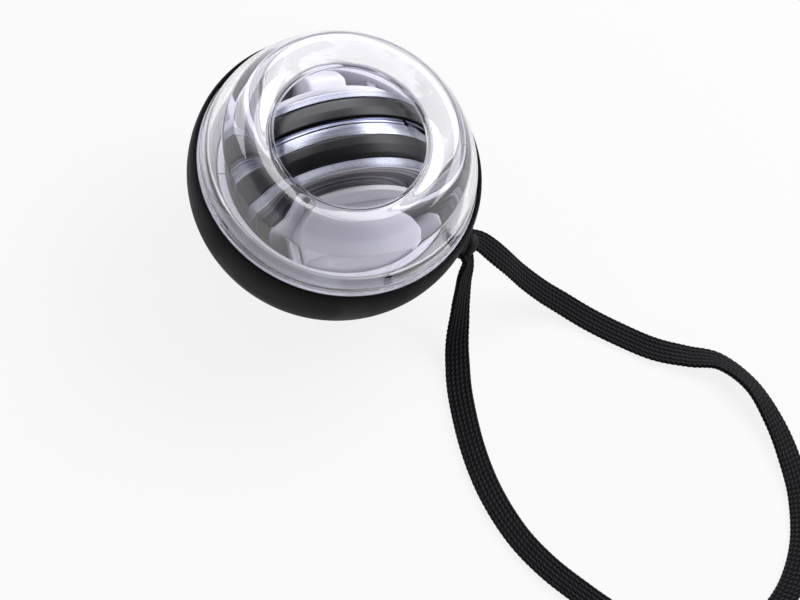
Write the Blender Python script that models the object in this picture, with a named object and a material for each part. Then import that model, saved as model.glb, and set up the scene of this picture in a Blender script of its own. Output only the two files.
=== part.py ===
# Gyroscopic wrist ball: a soft-covered bowl and a clear dome hold a race,
# in which the axle of a heavy rotor runs. The rotor sits in a turning frame
# that also carries the winding spring of the starter.
#
# Origin: centre of the flat base, on the floor. +Z runs up through the ball's pole.
# The strap leaves the bowl on the +X side. Sizes are in metres.

import math

import bmesh
import bpy
from mathutils import Matrix, Vector

MM = 0.001
GAP = 0.3 * MM

# Driving dimensions of the ball
MID = 28.5 * MM              # height of the widest plane above the floor
COVER_RADIUS = 32.5 * MM     # outside of the soft cover
COVER_DROP = 30.6 * MM       # half height that the cover's curve would reach
COVER_WALL = 1.1 * MM
COVER_TOP = 5.0 * MM         # seam with the clear dome, above MID
BOWL_WALL = 1.8 * MM
DOME_RADIUS = 31.4 * MM
DOME_WALL = 2.4 * MM
SHOULDER = 36                # degrees up the dome's side where its top begins to roll over
LIP_ROLL = 4.33 * MM         # radius of the roll, whose crest stands round the thumb opening
LIP_INNER = 16.9 * MM        # the funnel inside the crest comes down to here
LIP_DROP = 1.5 * MM
LIP_TIP = 0.8 * MM
FOOT_RADIUS = COVER_RADIUS * math.sqrt(1 - (MID / COVER_DROP) ** 2)

# The race, a split channel between bowl and dome
RACE_MOUTH = 26.3 * MM
RACE_FLOOR = 28.6 * MM
RACE_OUTER = 29.5 * MM
RACE_HALF_SLOT = 1.6 * MM
RACE_HALF_HEIGHT = 2.6 * MM

# The rotor, measured along its axle from the ball's centre
REST_TURN = math.radians(32.9)   # how far the frame stands turned about the pole at rest
AXLE_RADIUS = 1.5 * MM
AXLE_TIP_RADIUS = 1.3 * MM
AXLE_REACH = 28.2 * MM
ROTOR_RADIUS = 22.95 * MM
TYRE_INNER_EDGE = 2.3 * MM
TYRE_OUTER_EDGE = 7.05 * MM
TYRE_SHOULDER = 21.95 * MM
RIM_EDGE = 9.2 * MM
RIM_RADIUS = 21.9 * MM
CORE_RADIUS = 20.4 * MM
CORE_BORE = 1.8 * MM
BAND_RADIUS = 22.5 * MM
BAND_TRACK = 22.1 * MM       # floor of the groove beside the rear tyre
DISH_FLOOR = 8.1 * MM
CORD_HOLE_RADIUS = 0.8 * MM
CORD_HOLE_FLOOR = 16.0 * MM
CORD_HOLE_ANGLE = 34         # degrees from straight up, round the axle
CORD_HOLE_SHIFT = 1.2 * MM   # the hole stands in the band's ridge
CORD_GROOVE_FLOOR = 21.2 * MM
CORD_GROOVE_END = 150        # the cord lies in a groove from the hole to this many degrees
SPACER_RADIUS = 3.6 * MM

# The turning frame
PLATE_NEAR = 11.4 * MM
PLATE_FAR = 12.6 * MM
PLATE_RADIUS = 17.3 * MM
RING_INNER = 24.5 * MM
RING_OUTER = 26.0 * MM
RING_HALF_HEIGHT = 3.0 * MM
POD_HALF_WIDTH = 11.8 * MM
POD_ROOF = 11.4 * MM
POD_REACH = 24.2 * MM
POD_ROOF_REACH = 17.8 * MM
POD_SPLIT = 21.0 * MM
BARREL_RADIUS = 7.5 * MM
BARREL_FLOOR = 13.9 * MM
BOSS_HALF_WIDTH = 4.2 * MM
POD_EDGE = 0.9 * MM          # rounding of the pod's edges
COVER_HALF_WIDTH = 12.3 * MM
ARM_INNER = 12.1 * MM
ARM_OUTER = 13.9 * MM
ARM_TIP = 21.6 * MM
ARM_HALF_HEIGHT = 1.5 * MM
BUSH_RADIUS = 2.9 * MM
BUSH_LENGTH = 4.0 * MM
BUSH_LENGTH_FRONT = 2.0 * MM
BOSS_RADIUS = 3.9 * MM

# The starter
SPRING_INNER = 4.3 * MM
SPRING_OUTER = 7.1 * MM
SPRING_TURNS = 4
SPRING_STRIP = 0.32 * MM
SPRING_NEAR = 14.6 * MM
SPRING_WIDTH = 4.6 * MM
HUB_RADIUS = 4.0 * MM
HUB_NEAR = 8.4 * MM
HUB_FAR = 20.4 * MM
HUB_HOLE = 4.4 * MM
RATCHET_TIP = 6.9 * MM
RATCHET_ROOT = 6.0 * MM
RATCHET_TEETH = 12
RATCHET_NEAR = 8.7 * MM
RATCHET_FAR = 10.3 * MM
PAWL_DISC_RADIUS = 11.2 * MM
PAWL_RIM_INNER = 9.4 * MM
PAWL_DISC_FAR = 9.9 * MM
PAWL_TIP = 7.3 * MM
PAWL_WIDTH = 1.1 * MM
PAWL_SWEEP = 42              # degrees that a pawl runs round between the disc's rim and its tip
PAWL_COUNT = 4

# The strap's anchor in the bowl
PIN_RADIUS = 0.8 * MM
PIN_REACH = 28.9 * MM
ANCHOR_HEIGHT = -6.6 * MM
POCKET_HALF_WIDTH = 3.6 * MM
POCKET_HALF_HEIGHT = 2.7 * MM
POCKET_BACK = 26.2 * MM
STRAP_WIDTH = 6.0 * MM
STRAP_THICKNESS = 1.4 * MM

# The strap's route in millimetres, and the degrees by which its right-hand edge is raised
STRAP_ROUTE = [
    (34.9, -2.9, 18.6, 54), (35.7, -5.2, 15.4, 47), (37.0, -7.9, 11.0, 36), (38.5, -10.7, 6.9, 26),
    (40.0, -13.9, 3.6, 16), (41.9, -18.0, 1.7, 6), (45.3, -25.3, 0.9, 0), (51.6, -35.6, 0.8, 0),
    (58.7, -44.1, 0.8, 0), (67.1, -51.0, 0.8, 0), (75.4, -55.3, 0.8, 0), (84.4, -58.2, 0.8, 0),
    (95.0, -60.6, 0.8, 0), (106.0, -61.0, 0.8, 0), (116.6, -58.2, 0.8, 0), (125.0, -51.0, 0.8, 0),
    (129.8, -40.6, 0.8, 0), (130.4, -28.6, 0.8, 0), (127.2, -17.2, 0.8, 0), (122.0, -8.6, 1.2, -8),
    (115.8, -1.3, 1.8, -20), (108.2, 4.8, 2.3, -32), (99.5, 7.5, 2.1, -28), (92.0, 6.0, 1.4, -13),
    (84.0, 4.7, 0.9, -2), (75.2, 4.8, 0.8, 0), (67.2, 5.4, 0.9, 0), (60.0, 5.9, 2.2, 0),
    (54.4, 5.4, 4.9, 0), (48.3, 4.5, 9.6, 0), (42.7, 3.4, 15.4, 0), (36.6, 2.6, 20.3, 0),
]
STRAP_POINTS = 46
KNOT_HALF_SIZE = (1.7 * MM, 2.7 * MM, 2.3 * MM)
KNOT_PLACE = (33.8 * MM, 0.3 * MM, -6.7 * MM)   # from the ball's centre

ROUND_STEPS = 44
RACE_STEPS = 36
ROTOR_STEPS = 36
SMALL_STEPS = 16
SPRING_STEPS = 16            # straight pieces in one turn of the spring


def clear_scene():
    """Take every object out of the scene."""
    for thing in list(bpy.data.objects):
        bpy.data.objects.remove(thing, do_unlink=True)


def finish(name, colour, roughness, metallic=0.0, alpha=1.0):
    """Return a material with a plain Principled shader."""
    made = bpy.data.materials.new(name)
    made.use_nodes = True
    shader = made.node_tree.nodes["Principled BSDF"]
    shader.inputs["Base Color"].default_value = (*colour, 1.0)
    shader.inputs["Roughness"].default_value = roughness
    shader.inputs["Metallic"].default_value = metallic
    shader.inputs["Alpha"].default_value = alpha
    made.diffuse_color = (*colour, alpha)
    return made


def axis_empty(name, parent=None, place=(0, 0, 0), turn=0.0):
    """Return an empty that marks a joint's axis."""
    empty = bpy.data.objects.new(name, None)
    bpy.context.collection.objects.link(empty)
    empty.parent = parent
    empty.location = place
    empty.rotation_euler = (0, 0, turn)
    return empty


def piece(name, bm, material, parent, sharp=30):
    """Make a named object of a bmesh, with smooth shading on its round faces."""
    mesh = bpy.data.meshes.new(name)
    bm.to_mesh(mesh)
    bm.free()
    mesh.shade_smooth()
    mesh.set_sharp_from_angle(angle=math.radians(sharp))
    made = bpy.data.objects.new(name, mesh)
    bpy.context.collection.objects.link(made)
    if material:
        mesh.materials.append(material)
    made.parent = parent
    return made


def guide(name, bm, parent):
    """Make a shape that only cuts or joins other pieces."""
    made = piece(name, bm, None, parent)
    made.hide_render = True
    made.display_type = "WIRE"
    return made


def combine(target, operand, operation):
    """Cut, join or keep with an exact Boolean."""
    boolean = target.modifiers.new(operand.name, "BOOLEAN")
    boolean.operation = operation
    boolean.solver = "EXACT"
    boolean.object = operand


def turned(profile, steps, along="Z", ring=True):
    """Turn an outline of (radius, height) points right round an axis.

    A ring's outline is closed. Any other outline starts and ends on the axis.
    """
    bm = bmesh.new()
    corners = [bm.verts.new((radius, 0, height)) for radius, height in profile]
    pairs = list(zip(corners, corners[1:]))
    if ring:
        pairs.append((corners[-1], corners[0]))
    edges = [bm.edges.new(pair) for pair in pairs]
    bmesh.ops.spin(
        bm, geom=corners + edges, cent=(0, 0, 0), axis=(0, 0, 1),
        angle=math.tau, steps=steps, use_merge=True,
    )
    bmesh.ops.remove_doubles(bm, verts=bm.verts, dist=1e-6)
    if along == "Y":
        bmesh.ops.rotate(bm, verts=bm.verts, matrix=Matrix.Rotation(-math.pi / 2, 3, "X"))
    bmesh.ops.recalc_face_normals(bm, faces=bm.faces)
    return bm


def block(low, high):
    """Return a box between two corners."""
    bm = bmesh.new()
    bmesh.ops.create_cube(bm, size=1.0)
    size = [b - a for a, b in zip(low, high)]
    middle = [(a + b) / 2 for a, b in zip(low, high)]
    bmesh.ops.scale(bm, verts=bm.verts, vec=size)
    bmesh.ops.translate(bm, verts=bm.verts, vec=middle)
    return bm


def rod(radius, start, end, steps=SMALL_STEPS, along="Y"):
    """Return a plain cylinder along Y or Z."""
    return turned([(0, start), (radius, start), (radius, end), (0, end)], steps, along, ring=False)


def prism(outline, start, end, along="Y"):
    """Push a flat closed outline out between two places along Y or X."""
    order = {"X": lambda a, b, h: (h, a, b), "Y": lambda a, b, h: (a, h, b)}
    place = order[along]
    bm = bmesh.new()
    face = bm.faces.new([bm.verts.new(place(a, b, start)) for a, b in outline])
    push = Vector(place(0, 0, end - start))
    grown = bmesh.ops.extrude_face_region(bm, geom=[face])
    moved = [item for item in grown["geom"] if isinstance(item, bmesh.types.BMVert)]
    bmesh.ops.translate(bm, verts=moved, vec=push)
    bmesh.ops.recalc_face_normals(bm, faces=bm.faces)
    return bm


def polar(centre, radius, degrees):
    """Return the point at a distance from a centre, at an angle from +r towards +z."""
    angle = math.radians(degrees)
    return (centre[0] + radius * math.cos(angle), centre[1] + radius * math.sin(angle))


def arc(centre, radius, start, end, count):
    """Return points on an arc, between two angles in degrees from +r towards +z."""
    return [polar(centre, radius, start + (end - start) * step / count) for step in range(count + 1)]


def oval(radius, drop, start, end, count):
    """Return points down an ellipse's side, between two heights as angles in degrees."""
    points = []
    for step in range(count + 1):
        angle = math.radians(start + (end - start) * step / count)
        points.append((radius * math.cos(angle), -drop * math.sin(angle)))
    return points


def oval_angle(radius, flat_radius):
    """Return the angle at which an ellipse's side has come in to a flat's radius."""
    return math.degrees(math.acos(flat_radius / radius))


# Shell

def cover_profile():
    """Outline of the soft cover: a cup with a rounded top edge and a flat foot."""
    end = oval_angle(COVER_RADIUS, FOOT_RADIUS)
    outside = oval(COVER_RADIUS, COVER_DROP, -5, end, 9)
    foot = outside[-1][1]
    inner_radius = COVER_RADIUS - COVER_WALL
    inner_drop = COVER_DROP - COVER_WALL
    inner_end = oval_angle(inner_radius, FOOT_RADIUS - 0.4 * MM)
    inside = oval(inner_radius, inner_drop, -4, inner_end, 6)
    top_edge = [
        (inner_radius, COVER_TOP),
        (inner_radius + 0.45 * MM, COVER_TOP + 0.08 * MM),
        (COVER_RADIUS - 0.2 * MM, COVER_TOP - 0.6 * MM),
    ]
    return (
        [(0, inside[-1][1])] + list(reversed(inside[1:])) + top_edge
        + outside[1:] + [(0, foot)]
    )


def bowl_profile():
    """Outline of the hard bowl: race seat at the top, egg-shaped hollow below."""
    outer_radius = COVER_RADIUS - COVER_WALL - GAP
    outer_drop = COVER_DROP - COVER_WALL - GAP
    end = oval_angle(outer_radius, FOOT_RADIUS)
    outside = oval(outer_radius, outer_drop, 0, end, 6)
    hollow_radius = 27.9 * MM
    hollow_drop = -outside[-1][1] - BOWL_WALL
    hollow = oval(hollow_radius, hollow_drop, 7, 90, 6)
    seat = RACE_OUTER + GAP
    ledge = -RACE_HALF_HEIGHT - GAP
    top = COVER_TOP - 0.7 * MM
    race_seat = [(hollow[0][0], ledge), (seat, ledge), (seat, top), (outer_radius, top)]
    return list(reversed(hollow)) + race_seat + outside + [(0, outside[-1][1])]


def dip(crest, radius, drop, count):
    """Points after a crest, on a curve that drops faster and faster towards a smaller radius."""
    points = []
    for step in range(1, count + 1):
        share = step / count
        points.append((crest[0] + (radius - crest[0]) * share, crest[1] - drop * share ** 2))
    return points


def dome_profile():
    """Outline of the clear dome: skirt, grooved rim, round side, rolled crest and funnel."""
    side = arc((0, 0), DOME_RADIUS, 13, SHOULDER, 3)
    centre = polar((0, 0), DOME_RADIUS - LIP_ROLL, SHOULDER)
    roll = arc(centre, LIP_ROLL, SHOULDER, 90, 3)
    crest = roll[-1]
    funnel = dip(crest, LIP_INNER, LIP_DROP, 3)
    brink = 90 + math.degrees(math.atan(2 * LIP_DROP / (crest[0] - LIP_INNER)))
    tip_centre = polar(funnel[-1], -LIP_TIP, brink)
    tip_end = 283      # degrees round the tip where the underside begins
    tip = arc(tip_centre, LIP_TIP, brink, tip_end, 4)
    under_crest = (crest[0], crest[1] - DOME_WALL)
    under = list(reversed(dip(under_crest, tip[-1][0], under_crest[1] - tip[-1][1], 2)))
    under_roll = arc(centre, LIP_ROLL - DOME_WALL, 90, SHOULDER, 2)
    inside = arc((0, 0), DOME_RADIUS - DOME_WALL, SHOULDER, 17, 2)
    skirt_inner = inside[-1][0]
    skirt_foot = RACE_HALF_HEIGHT + GAP
    rim_under = COVER_TOP - 0.4 * MM
    rim = COVER_RADIUS - COVER_WALL - 2 * GAP
    skirt_outer = RACE_OUTER - 0.1 * MM
    skirt = [(skirt_inner, skirt_foot), (skirt_outer, skirt_foot), (skirt_outer, rim_under)]
    grooved_rim = [
        (rim, rim_under), (rim, COVER_TOP + 0.9 * MM), (rim - 0.35 * MM, COVER_TOP + 1.3 * MM),
        (rim - 0.75 * MM, COVER_TOP + 1.5 * MM), (rim - 0.6 * MM, COVER_TOP + 1.9 * MM),
    ]
    return (
        skirt + grooved_rim + side + roll[1:] + funnel + tip[1:] + under[:-1]
        + under_roll + inside[1:]
    )


def race_profile(side):
    """Outline of one half of the race channel, below (-1) or above (+1) the axle."""
    return [
        (RACE_MOUTH, side * RACE_HALF_SLOT), (RACE_FLOOR, side * RACE_HALF_SLOT),
        (RACE_FLOOR, side * GAP / 2), (RACE_OUTER, side * GAP / 2),
        (RACE_OUTER, side * RACE_HALF_HEIGHT), (RACE_MOUTH, side * RACE_HALF_HEIGHT),
    ]


def build_shell(centre, finishes):
    """Make the cover, the bowl, the race, the dome and the strap's anchor pin."""
    pocket = guide(
        "pocket_cutter",
        block((POCKET_BACK, -POCKET_HALF_WIDTH, ANCHOR_HEIGHT - POCKET_HALF_HEIGHT),
              (COVER_RADIUS + 2 * MM, POCKET_HALF_WIDTH, ANCHOR_HEIGHT + POCKET_HALF_HEIGHT)),
        centre,
    )
    window = guide(
        "window_cutter",
        block((RACE_FLOOR, -POCKET_HALF_WIDTH - GAP, ANCHOR_HEIGHT - POCKET_HALF_HEIGHT - GAP),
              (COVER_RADIUS + 2 * MM, POCKET_HALF_WIDTH + GAP, ANCHOR_HEIGHT + POCKET_HALF_HEIGHT + GAP)),
        centre,
    )
    wall = 1.2 * MM
    boss = guide(
        "pocket_boss",
        block((POCKET_BACK - wall, -POCKET_HALF_WIDTH - wall, ANCHOR_HEIGHT - POCKET_HALF_HEIGHT - wall),
              (POCKET_BACK + 2.0 * MM, POCKET_HALF_WIDTH + wall, -RACE_HALF_HEIGHT - 0.9 * MM)),
        centre,
    )
    bore_half = POCKET_HALF_WIDTH + 1.1 * MM
    pin_bore = rod(PIN_RADIUS + GAP, -bore_half, bore_half, 12)
    bmesh.ops.translate(pin_bore, verts=pin_bore.verts, vec=(PIN_REACH, 0, ANCHOR_HEIGHT))
    pin_hole = guide("pin_cutter", pin_bore, centre)

    cover = piece("grip_cover", turned(cover_profile(), ROUND_STEPS, ring=False), finishes["cover"], centre)
    combine(cover, window, "DIFFERENCE")

    bowl = piece("lower_bowl", turned(bowl_profile(), ROUND_STEPS, ring=False), finishes["bowl"], centre)
    combine(bowl, boss, "UNION")
    combine(bowl, pocket, "DIFFERENCE")
    combine(bowl, pin_hole, "DIFFERENCE")

    pin_half = bore_half - GAP
    pin = rod(PIN_RADIUS, -pin_half, pin_half, 12)
    bmesh.ops.translate(pin, verts=pin.verts, vec=(PIN_REACH, 0, ANCHOR_HEIGHT))
    piece("strap_pin", pin, finishes["steel"], centre)

    piece("lower_race", turned(race_profile(-1), RACE_STEPS), finishes["race"], centre)
    piece("upper_race", turned(race_profile(1), RACE_STEPS), finishes["race"], centre)
    piece("clear_dome", turned(dome_profile(), ROUND_STEPS), finishes["clear"], centre)


# Turning frame

def loft(loops):
    """Join closed loops of equal length into one closed body with flat ends."""
    bm = bmesh.new()
    rings = [[bm.verts.new(point) for point in loop] for loop in loops]
    count = len(rings[0])
    for low, high in zip(rings, rings[1:]):
        for i in range(count):
            j = (i + 1) % count
            bm.faces.new((low[i], low[j], high[j], high[i]))
    bm.faces.new(rings[0])
    bm.faces.new(rings[-1])
    bmesh.ops.recalc_face_normals(bm, faces=bm.faces)
    return bm


def pod_radius(height):
    """Distance of the pod's front from the pole at a height: it leans in upwards and downwards."""
    lean = (POD_REACH - POD_ROOF_REACH) / POD_ROOF ** 2
    return POD_REACH - lean * height ** 2


def pod_plan(side, near, half_width, height, inset):
    """Outline of a pod at one height: flat sides, rounded corners and a front bent round the pole."""
    half = half_width - inset
    reach = pod_radius(height) - inset
    corner_x = half - POD_EDGE
    corner_y = math.sqrt((reach - POD_EDGE) ** 2 - corner_x ** 2)
    turn = math.atan2(corner_y, corner_x)
    steps = 2
    corner = []
    for step in range(steps + 1):
        angle = turn * step / steps
        corner.append((corner_x + POD_EDGE * math.cos(angle), corner_y + POD_EDGE * math.sin(angle)))
    fronts = 6
    front = []
    for step in range(1, fronts):
        angle = turn + (math.pi - 2 * turn) * step / fronts
        front.append((reach * math.cos(angle), reach * math.sin(angle)))
    plan = [(half, near)] + corner + front + [(-x, y) for x, y in reversed(corner)] + [(-half, near)]
    return [(x, side * y, height) for x, y in plan]


def pod_form(side, near, half_width):
    """Return a pod between its flat near end and its bent front, with its edges rounded."""
    loops = []
    for angle in (90, 45, 0):
        drop = POD_EDGE * (1 - math.sin(math.radians(angle)))
        inset = POD_EDGE * (1 - math.cos(math.radians(angle)))
        loops.append(pod_plan(side, near, half_width, -POD_ROOF + drop, inset))
    for height in (-6.6, -2.4, 2.4, 6.6):
        loops.append(pod_plan(side, near, half_width, height * MM, 0))
    for angle in (0, 45, 90):
        drop = POD_EDGE * (1 - math.sin(math.radians(angle)))
        inset = POD_EDGE * (1 - math.cos(math.radians(angle)))
        loops.append(pod_plan(side, near, half_width, POD_ROOF - drop, inset))
    return loft(loops)


def half_region(parent, name, side):
    """Return a guide of the space of one half of the frame, stepped for the half-lap joints."""
    lap = 2.0 * MM
    far = 40 * MM
    slack = GAP / 2
    front = [
        (-far, -far), (-lap - slack, -far), (-lap - slack, slack),
        (lap - slack, slack), (lap - slack, far), (-far, far),
    ]
    outline = [(-side * y, -side * z) for y, z in front]
    return guide(name, prism(outline, -far, far, "X"), parent)


def build_half(parent, finishes, name, side):
    """Make one half of the frame: half the ring, a side plate and its two arms."""
    outline = [
        (RING_INNER, -RING_HALF_HEIGHT), (RING_OUTER, -RING_HALF_HEIGHT),
        (RING_OUTER, RING_HALF_HEIGHT), (RING_INNER, RING_HALF_HEIGHT),
    ]
    half = piece(name, turned(outline, ROUND_STEPS), finishes["frame"], parent)
    combine(half, half_region(parent, name + "_region", side), "INTERSECT")
    plate = rod(PLATE_RADIUS, *sorted((side * PLATE_NEAR, side * PLATE_FAR)), ROTOR_STEPS)
    combine(half, guide(name + "_plate", plate, parent), "UNION")
    for across, word in ((-1, "left"), (1, "right")):
        low, high = sorted((across * ARM_INNER, across * ARM_OUTER))
        near, far = sorted((side * (PLATE_NEAR + 0.4 * MM), side * ARM_TIP))
        arm = block((low, near, -ARM_HALF_HEIGHT), (high, far, ARM_HALF_HEIGHT))
        combine(half, guide(name + "_arm_" + word, arm, parent), "UNION")
    return half


def build_frame(turn_axis, finishes):
    """Make the two halves of the frame, the pod's cover and the axle's bushes."""
    axle_bore = guide("axle_bore", rod(AXLE_RADIUS + GAP, -AXLE_REACH, AXLE_REACH), turn_axis)
    plate_root = PLATE_NEAR + 0.2 * MM
    far = 40 * MM
    split = guide("pod_split", block((-far, -far, -far), (far, -POD_SPLIT + GAP / 2, far)), turn_axis)

    front = build_half(turn_axis, finishes, "frame_front_half", -1)
    body = guide("pod_body", pod_form(-1, plate_root, POD_HALF_WIDTH), turn_axis)
    combine(body, split, "DIFFERENCE")
    combine(front, body, "UNION")
    barrel = rod(BARREL_RADIUS, -POD_SPLIT - MM, -BARREL_FLOOR, 28)
    combine(front, guide("barrel_cutter", barrel, turn_axis), "DIFFERENCE")
    hub_hole = rod(HUB_HOLE, -BARREL_FLOOR - MM, -PLATE_NEAR + MM, 24)
    combine(front, guide("hub_hole_cutter", hub_hole, turn_axis), "DIFFERENCE")
    combine(front, axle_bore, "DIFFERENCE")

    rear = build_half(turn_axis, finishes, "frame_rear_half", 1)
    combine(rear, guide("rear_stub", pod_form(1, plate_root, BOSS_HALF_WIDTH), turn_axis), "UNION")
    boss = rod(BOSS_RADIUS, plate_root, RING_INNER + 0.5 * MM, 24)
    combine(rear, guide("rear_boss", boss, turn_axis), "UNION")
    combine(rear, axle_bore, "DIFFERENCE")
    rear_seat = rod(BUSH_RADIUS + GAP, PLATE_NEAR - MM, PLATE_NEAR + BUSH_LENGTH + 2 * GAP, 20)
    combine(rear, guide("rear_bush_cutter", rear_seat, turn_axis), "DIFFERENCE")
    bush("bush_rear", PLATE_NEAR + GAP, BUSH_LENGTH, turn_axis, finishes)

    cap = piece("pod_cover", pod_form(-1, plate_root, COVER_HALF_WIDTH), finishes["frame"], turn_axis)
    behind = block((-far, -POD_SPLIT - GAP / 2, -far), (far, far, far))
    combine(cap, guide("cover_split", behind, turn_axis), "DIFFERENCE")
    front_seat = rod(BUSH_RADIUS + GAP, -POD_SPLIT - BUSH_LENGTH_FRONT - 2 * GAP, -POD_SPLIT + MM, 20)
    combine(cap, guide("front_bush_cutter", front_seat, turn_axis), "DIFFERENCE")
    combine(cap, axle_bore, "DIFFERENCE")
    bush("bush_front", -POD_SPLIT - GAP - BUSH_LENGTH_FRONT, BUSH_LENGTH_FRONT, turn_axis, finishes)


def bush(name, start, length, parent, finishes):
    """Make a plain bearing bush on the axle."""
    bore = AXLE_RADIUS + GAP
    outline = [
        (bore, start), (BUSH_RADIUS, start), (BUSH_RADIUS, start + length), (bore, start + length),
    ]
    piece(name, turned(outline, 20, "Y"), finishes["brass"], parent)


# Rotor

def mirrored(outline, side):
    """Return a (radius, distance) outline for the front (-1) or the rear (+1) of the rotor."""
    return [(radius, side * distance) for radius, distance in outline]


def build_rotor(axle_axis, finishes):
    """Make the axle, the weighted core, its two tyres, the grooved band and the turned end caps."""
    chamfer = 0.3 * MM
    journal = RING_INNER + 1.1 * MM
    half = [
        (AXLE_RADIUS, journal - 0.2 * MM), (AXLE_TIP_RADIUS, journal),
        (AXLE_TIP_RADIUS, AXLE_REACH - chamfer), (AXLE_TIP_RADIUS - chamfer, AXLE_REACH), (0, AXLE_REACH),
    ]
    axle_outline = list(reversed(mirrored(half, -1))) + half
    piece("axle", turned(axle_outline, SMALL_STEPS, "Y", ring=False), finishes["steel"], axle_axis)

    reach = 25 * MM
    cord_hole = rod(CORD_HOLE_RADIUS, CORD_HOLE_FLOOR, reach, 12, "Z")
    lean = Matrix.Rotation(math.radians(CORD_HOLE_ANGLE), 3, "Y")
    bmesh.ops.rotate(cord_hole, verts=cord_hole.verts, matrix=lean)
    bmesh.ops.translate(cord_hole, verts=cord_hole.verts, vec=(0, CORD_HOLE_SHIFT, 0))
    cord_hole = guide("cord_hole_cutter", cord_hole, axle_axis)
    groove_outline = [
        (CORD_GROOVE_FLOOR, 0.1 * MM), (reach, 0.1 * MM),
        (reach, CORD_HOLE_SHIFT), (CORD_GROOVE_FLOOR, CORD_HOLE_SHIFT),
    ]
    cord_groove = guide("cord_groove_cutter", turned(groove_outline, ROTOR_STEPS, "Y"), axle_axis)
    sector = [(0, 0)]
    for degrees in (CORD_HOLE_ANGLE + 4, (CORD_HOLE_ANGLE + CORD_GROOVE_END) / 2, CORD_GROOVE_END):
        sector.append(polar((0, 0), 2 * reach, 90 - degrees))
    combine(cord_groove, guide("cord_groove_part", prism(sector, -reach, reach), axle_axis), "INTERSECT")

    core_outline = [
        (CORE_BORE, -TYRE_OUTER_EDGE), (CORE_RADIUS, -TYRE_OUTER_EDGE),
        (CORE_RADIUS, TYRE_OUTER_EDGE), (CORE_BORE, TYRE_OUTER_EDGE),
    ]
    core = piece("rotor_core", turned(core_outline, ROTOR_STEPS, "Y"), finishes["core"], axle_axis)
    combine(core, cord_hole, "DIFFERENCE")

    seat = CORE_RADIUS + GAP
    band_edge = TYRE_INNER_EDGE - GAP
    band_outline = [
        (seat, -band_edge), (BAND_RADIUS, -band_edge), (BAND_RADIUS, 1.25 * MM),
        (BAND_TRACK, 1.5 * MM), (BAND_TRACK, band_edge), (seat, band_edge),
    ]
    band = piece("groove_band", turned(band_outline, ROTOR_STEPS, "Y"), finishes["silver"], axle_axis)
    combine(band, cord_hole, "DIFFERENCE")
    combine(band, cord_groove, "DIFFERENCE")

    tyre = [
        (seat, TYRE_INNER_EDGE), (ROTOR_RADIUS - 0.1 * MM, TYRE_INNER_EDGE), (ROTOR_RADIUS, 2.45 * MM),
        (ROTOR_RADIUS - 0.1 * MM, 4.4 * MM), (22.35 * MM, 6.3 * MM), (TYRE_SHOULDER, TYRE_OUTER_EDGE),
        (seat, TYRE_OUTER_EDGE),
    ]
    cap = [
        (CORE_BORE, TYRE_OUTER_EDGE + GAP), (RIM_RADIUS, TYRE_OUTER_EDGE + GAP),
        (RIM_RADIUS - 0.5 * MM, RIM_EDGE - 0.2 * MM), (RIM_RADIUS - 0.7 * MM, RIM_EDGE),
        (RIM_RADIUS - 1.0 * MM, RIM_EDGE),
        (19.3 * MM, 8.75 * MM), (16.4 * MM, 8.35 * MM), (12.4 * MM, DISH_FLOOR),
        (CORE_BORE, DISH_FLOOR),
    ]
    for side, word in ((-1, "front"), (1, "rear")):
        piece("tyre_" + word, turned(mirrored(tyre, side), ROTOR_STEPS, "Y"), finishes["tyre"], axle_axis)
        piece("cap_" + word, turned(mirrored(cap, side), ROTOR_STEPS, "Y"), finishes["silver"], axle_axis)

    spacer = [
        (CORE_BORE, DISH_FLOOR + GAP), (SPACER_RADIUS, DISH_FLOOR + GAP),
        (SPACER_RADIUS, PLATE_NEAR - GAP), (CORE_BORE, PLATE_NEAR - GAP),
    ]
    piece("spacer_rear", turned(spacer, 20, "Y"), finishes["brass"], axle_axis)


# Starter

def pawl_outline(start):
    """Outline of one curved pawl in (x, z), from inside the disc's rim to its tip at the ratchet."""
    steps = 5
    root = PAWL_RIM_INNER + 0.8 * MM
    sides = {1: [], -1: []}
    for step in range(steps + 1):
        share = step / steps
        radius = root + (PAWL_TIP + PAWL_WIDTH / 2 - root) * share
        angle = start - math.radians(PAWL_SWEEP) * share
        for side, points in sides.items():
            offset = radius + side * PAWL_WIDTH / 2
            points.append((offset * math.cos(angle), offset * math.sin(angle)))
    return sides[1] + list(reversed(sides[-1]))


def ratchet_outline():
    """Outline of the ratchet wheel in (x, z): each tooth rises slowly and drops at once."""
    points = []
    for tooth in range(RATCHET_TEETH):
        start = math.tau * tooth / RATCHET_TEETH
        for share in (0.0, 0.45, 0.9):
            radius = RATCHET_ROOT + (RATCHET_TIP - RATCHET_ROOT) * share / 0.9
            angle = start + math.tau / RATCHET_TEETH * share
            points.append((radius * math.cos(angle), radius * math.sin(angle)))
    return points


def spring_outline():
    """Outline of the wound strip in (x, z): a spiral out along its inner side and back along its outer."""
    first = SPRING_INNER + SPRING_STRIP / 2
    pitch = (SPRING_OUTER - SPRING_STRIP / 2 - first) / SPRING_TURNS
    count = round(SPRING_TURNS * SPRING_STEPS)
    sides = {1: [], -1: []}
    for step in range(count + 1):
        angle = math.tau * step / SPRING_STEPS
        middle = first + pitch * step / SPRING_STEPS
        for side, points in sides.items():
            radius = middle + side * SPRING_STRIP / 2
            points.append((radius * math.cos(angle), radius * math.sin(angle)))
    return sides[-1] + list(reversed(sides[1]))


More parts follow.
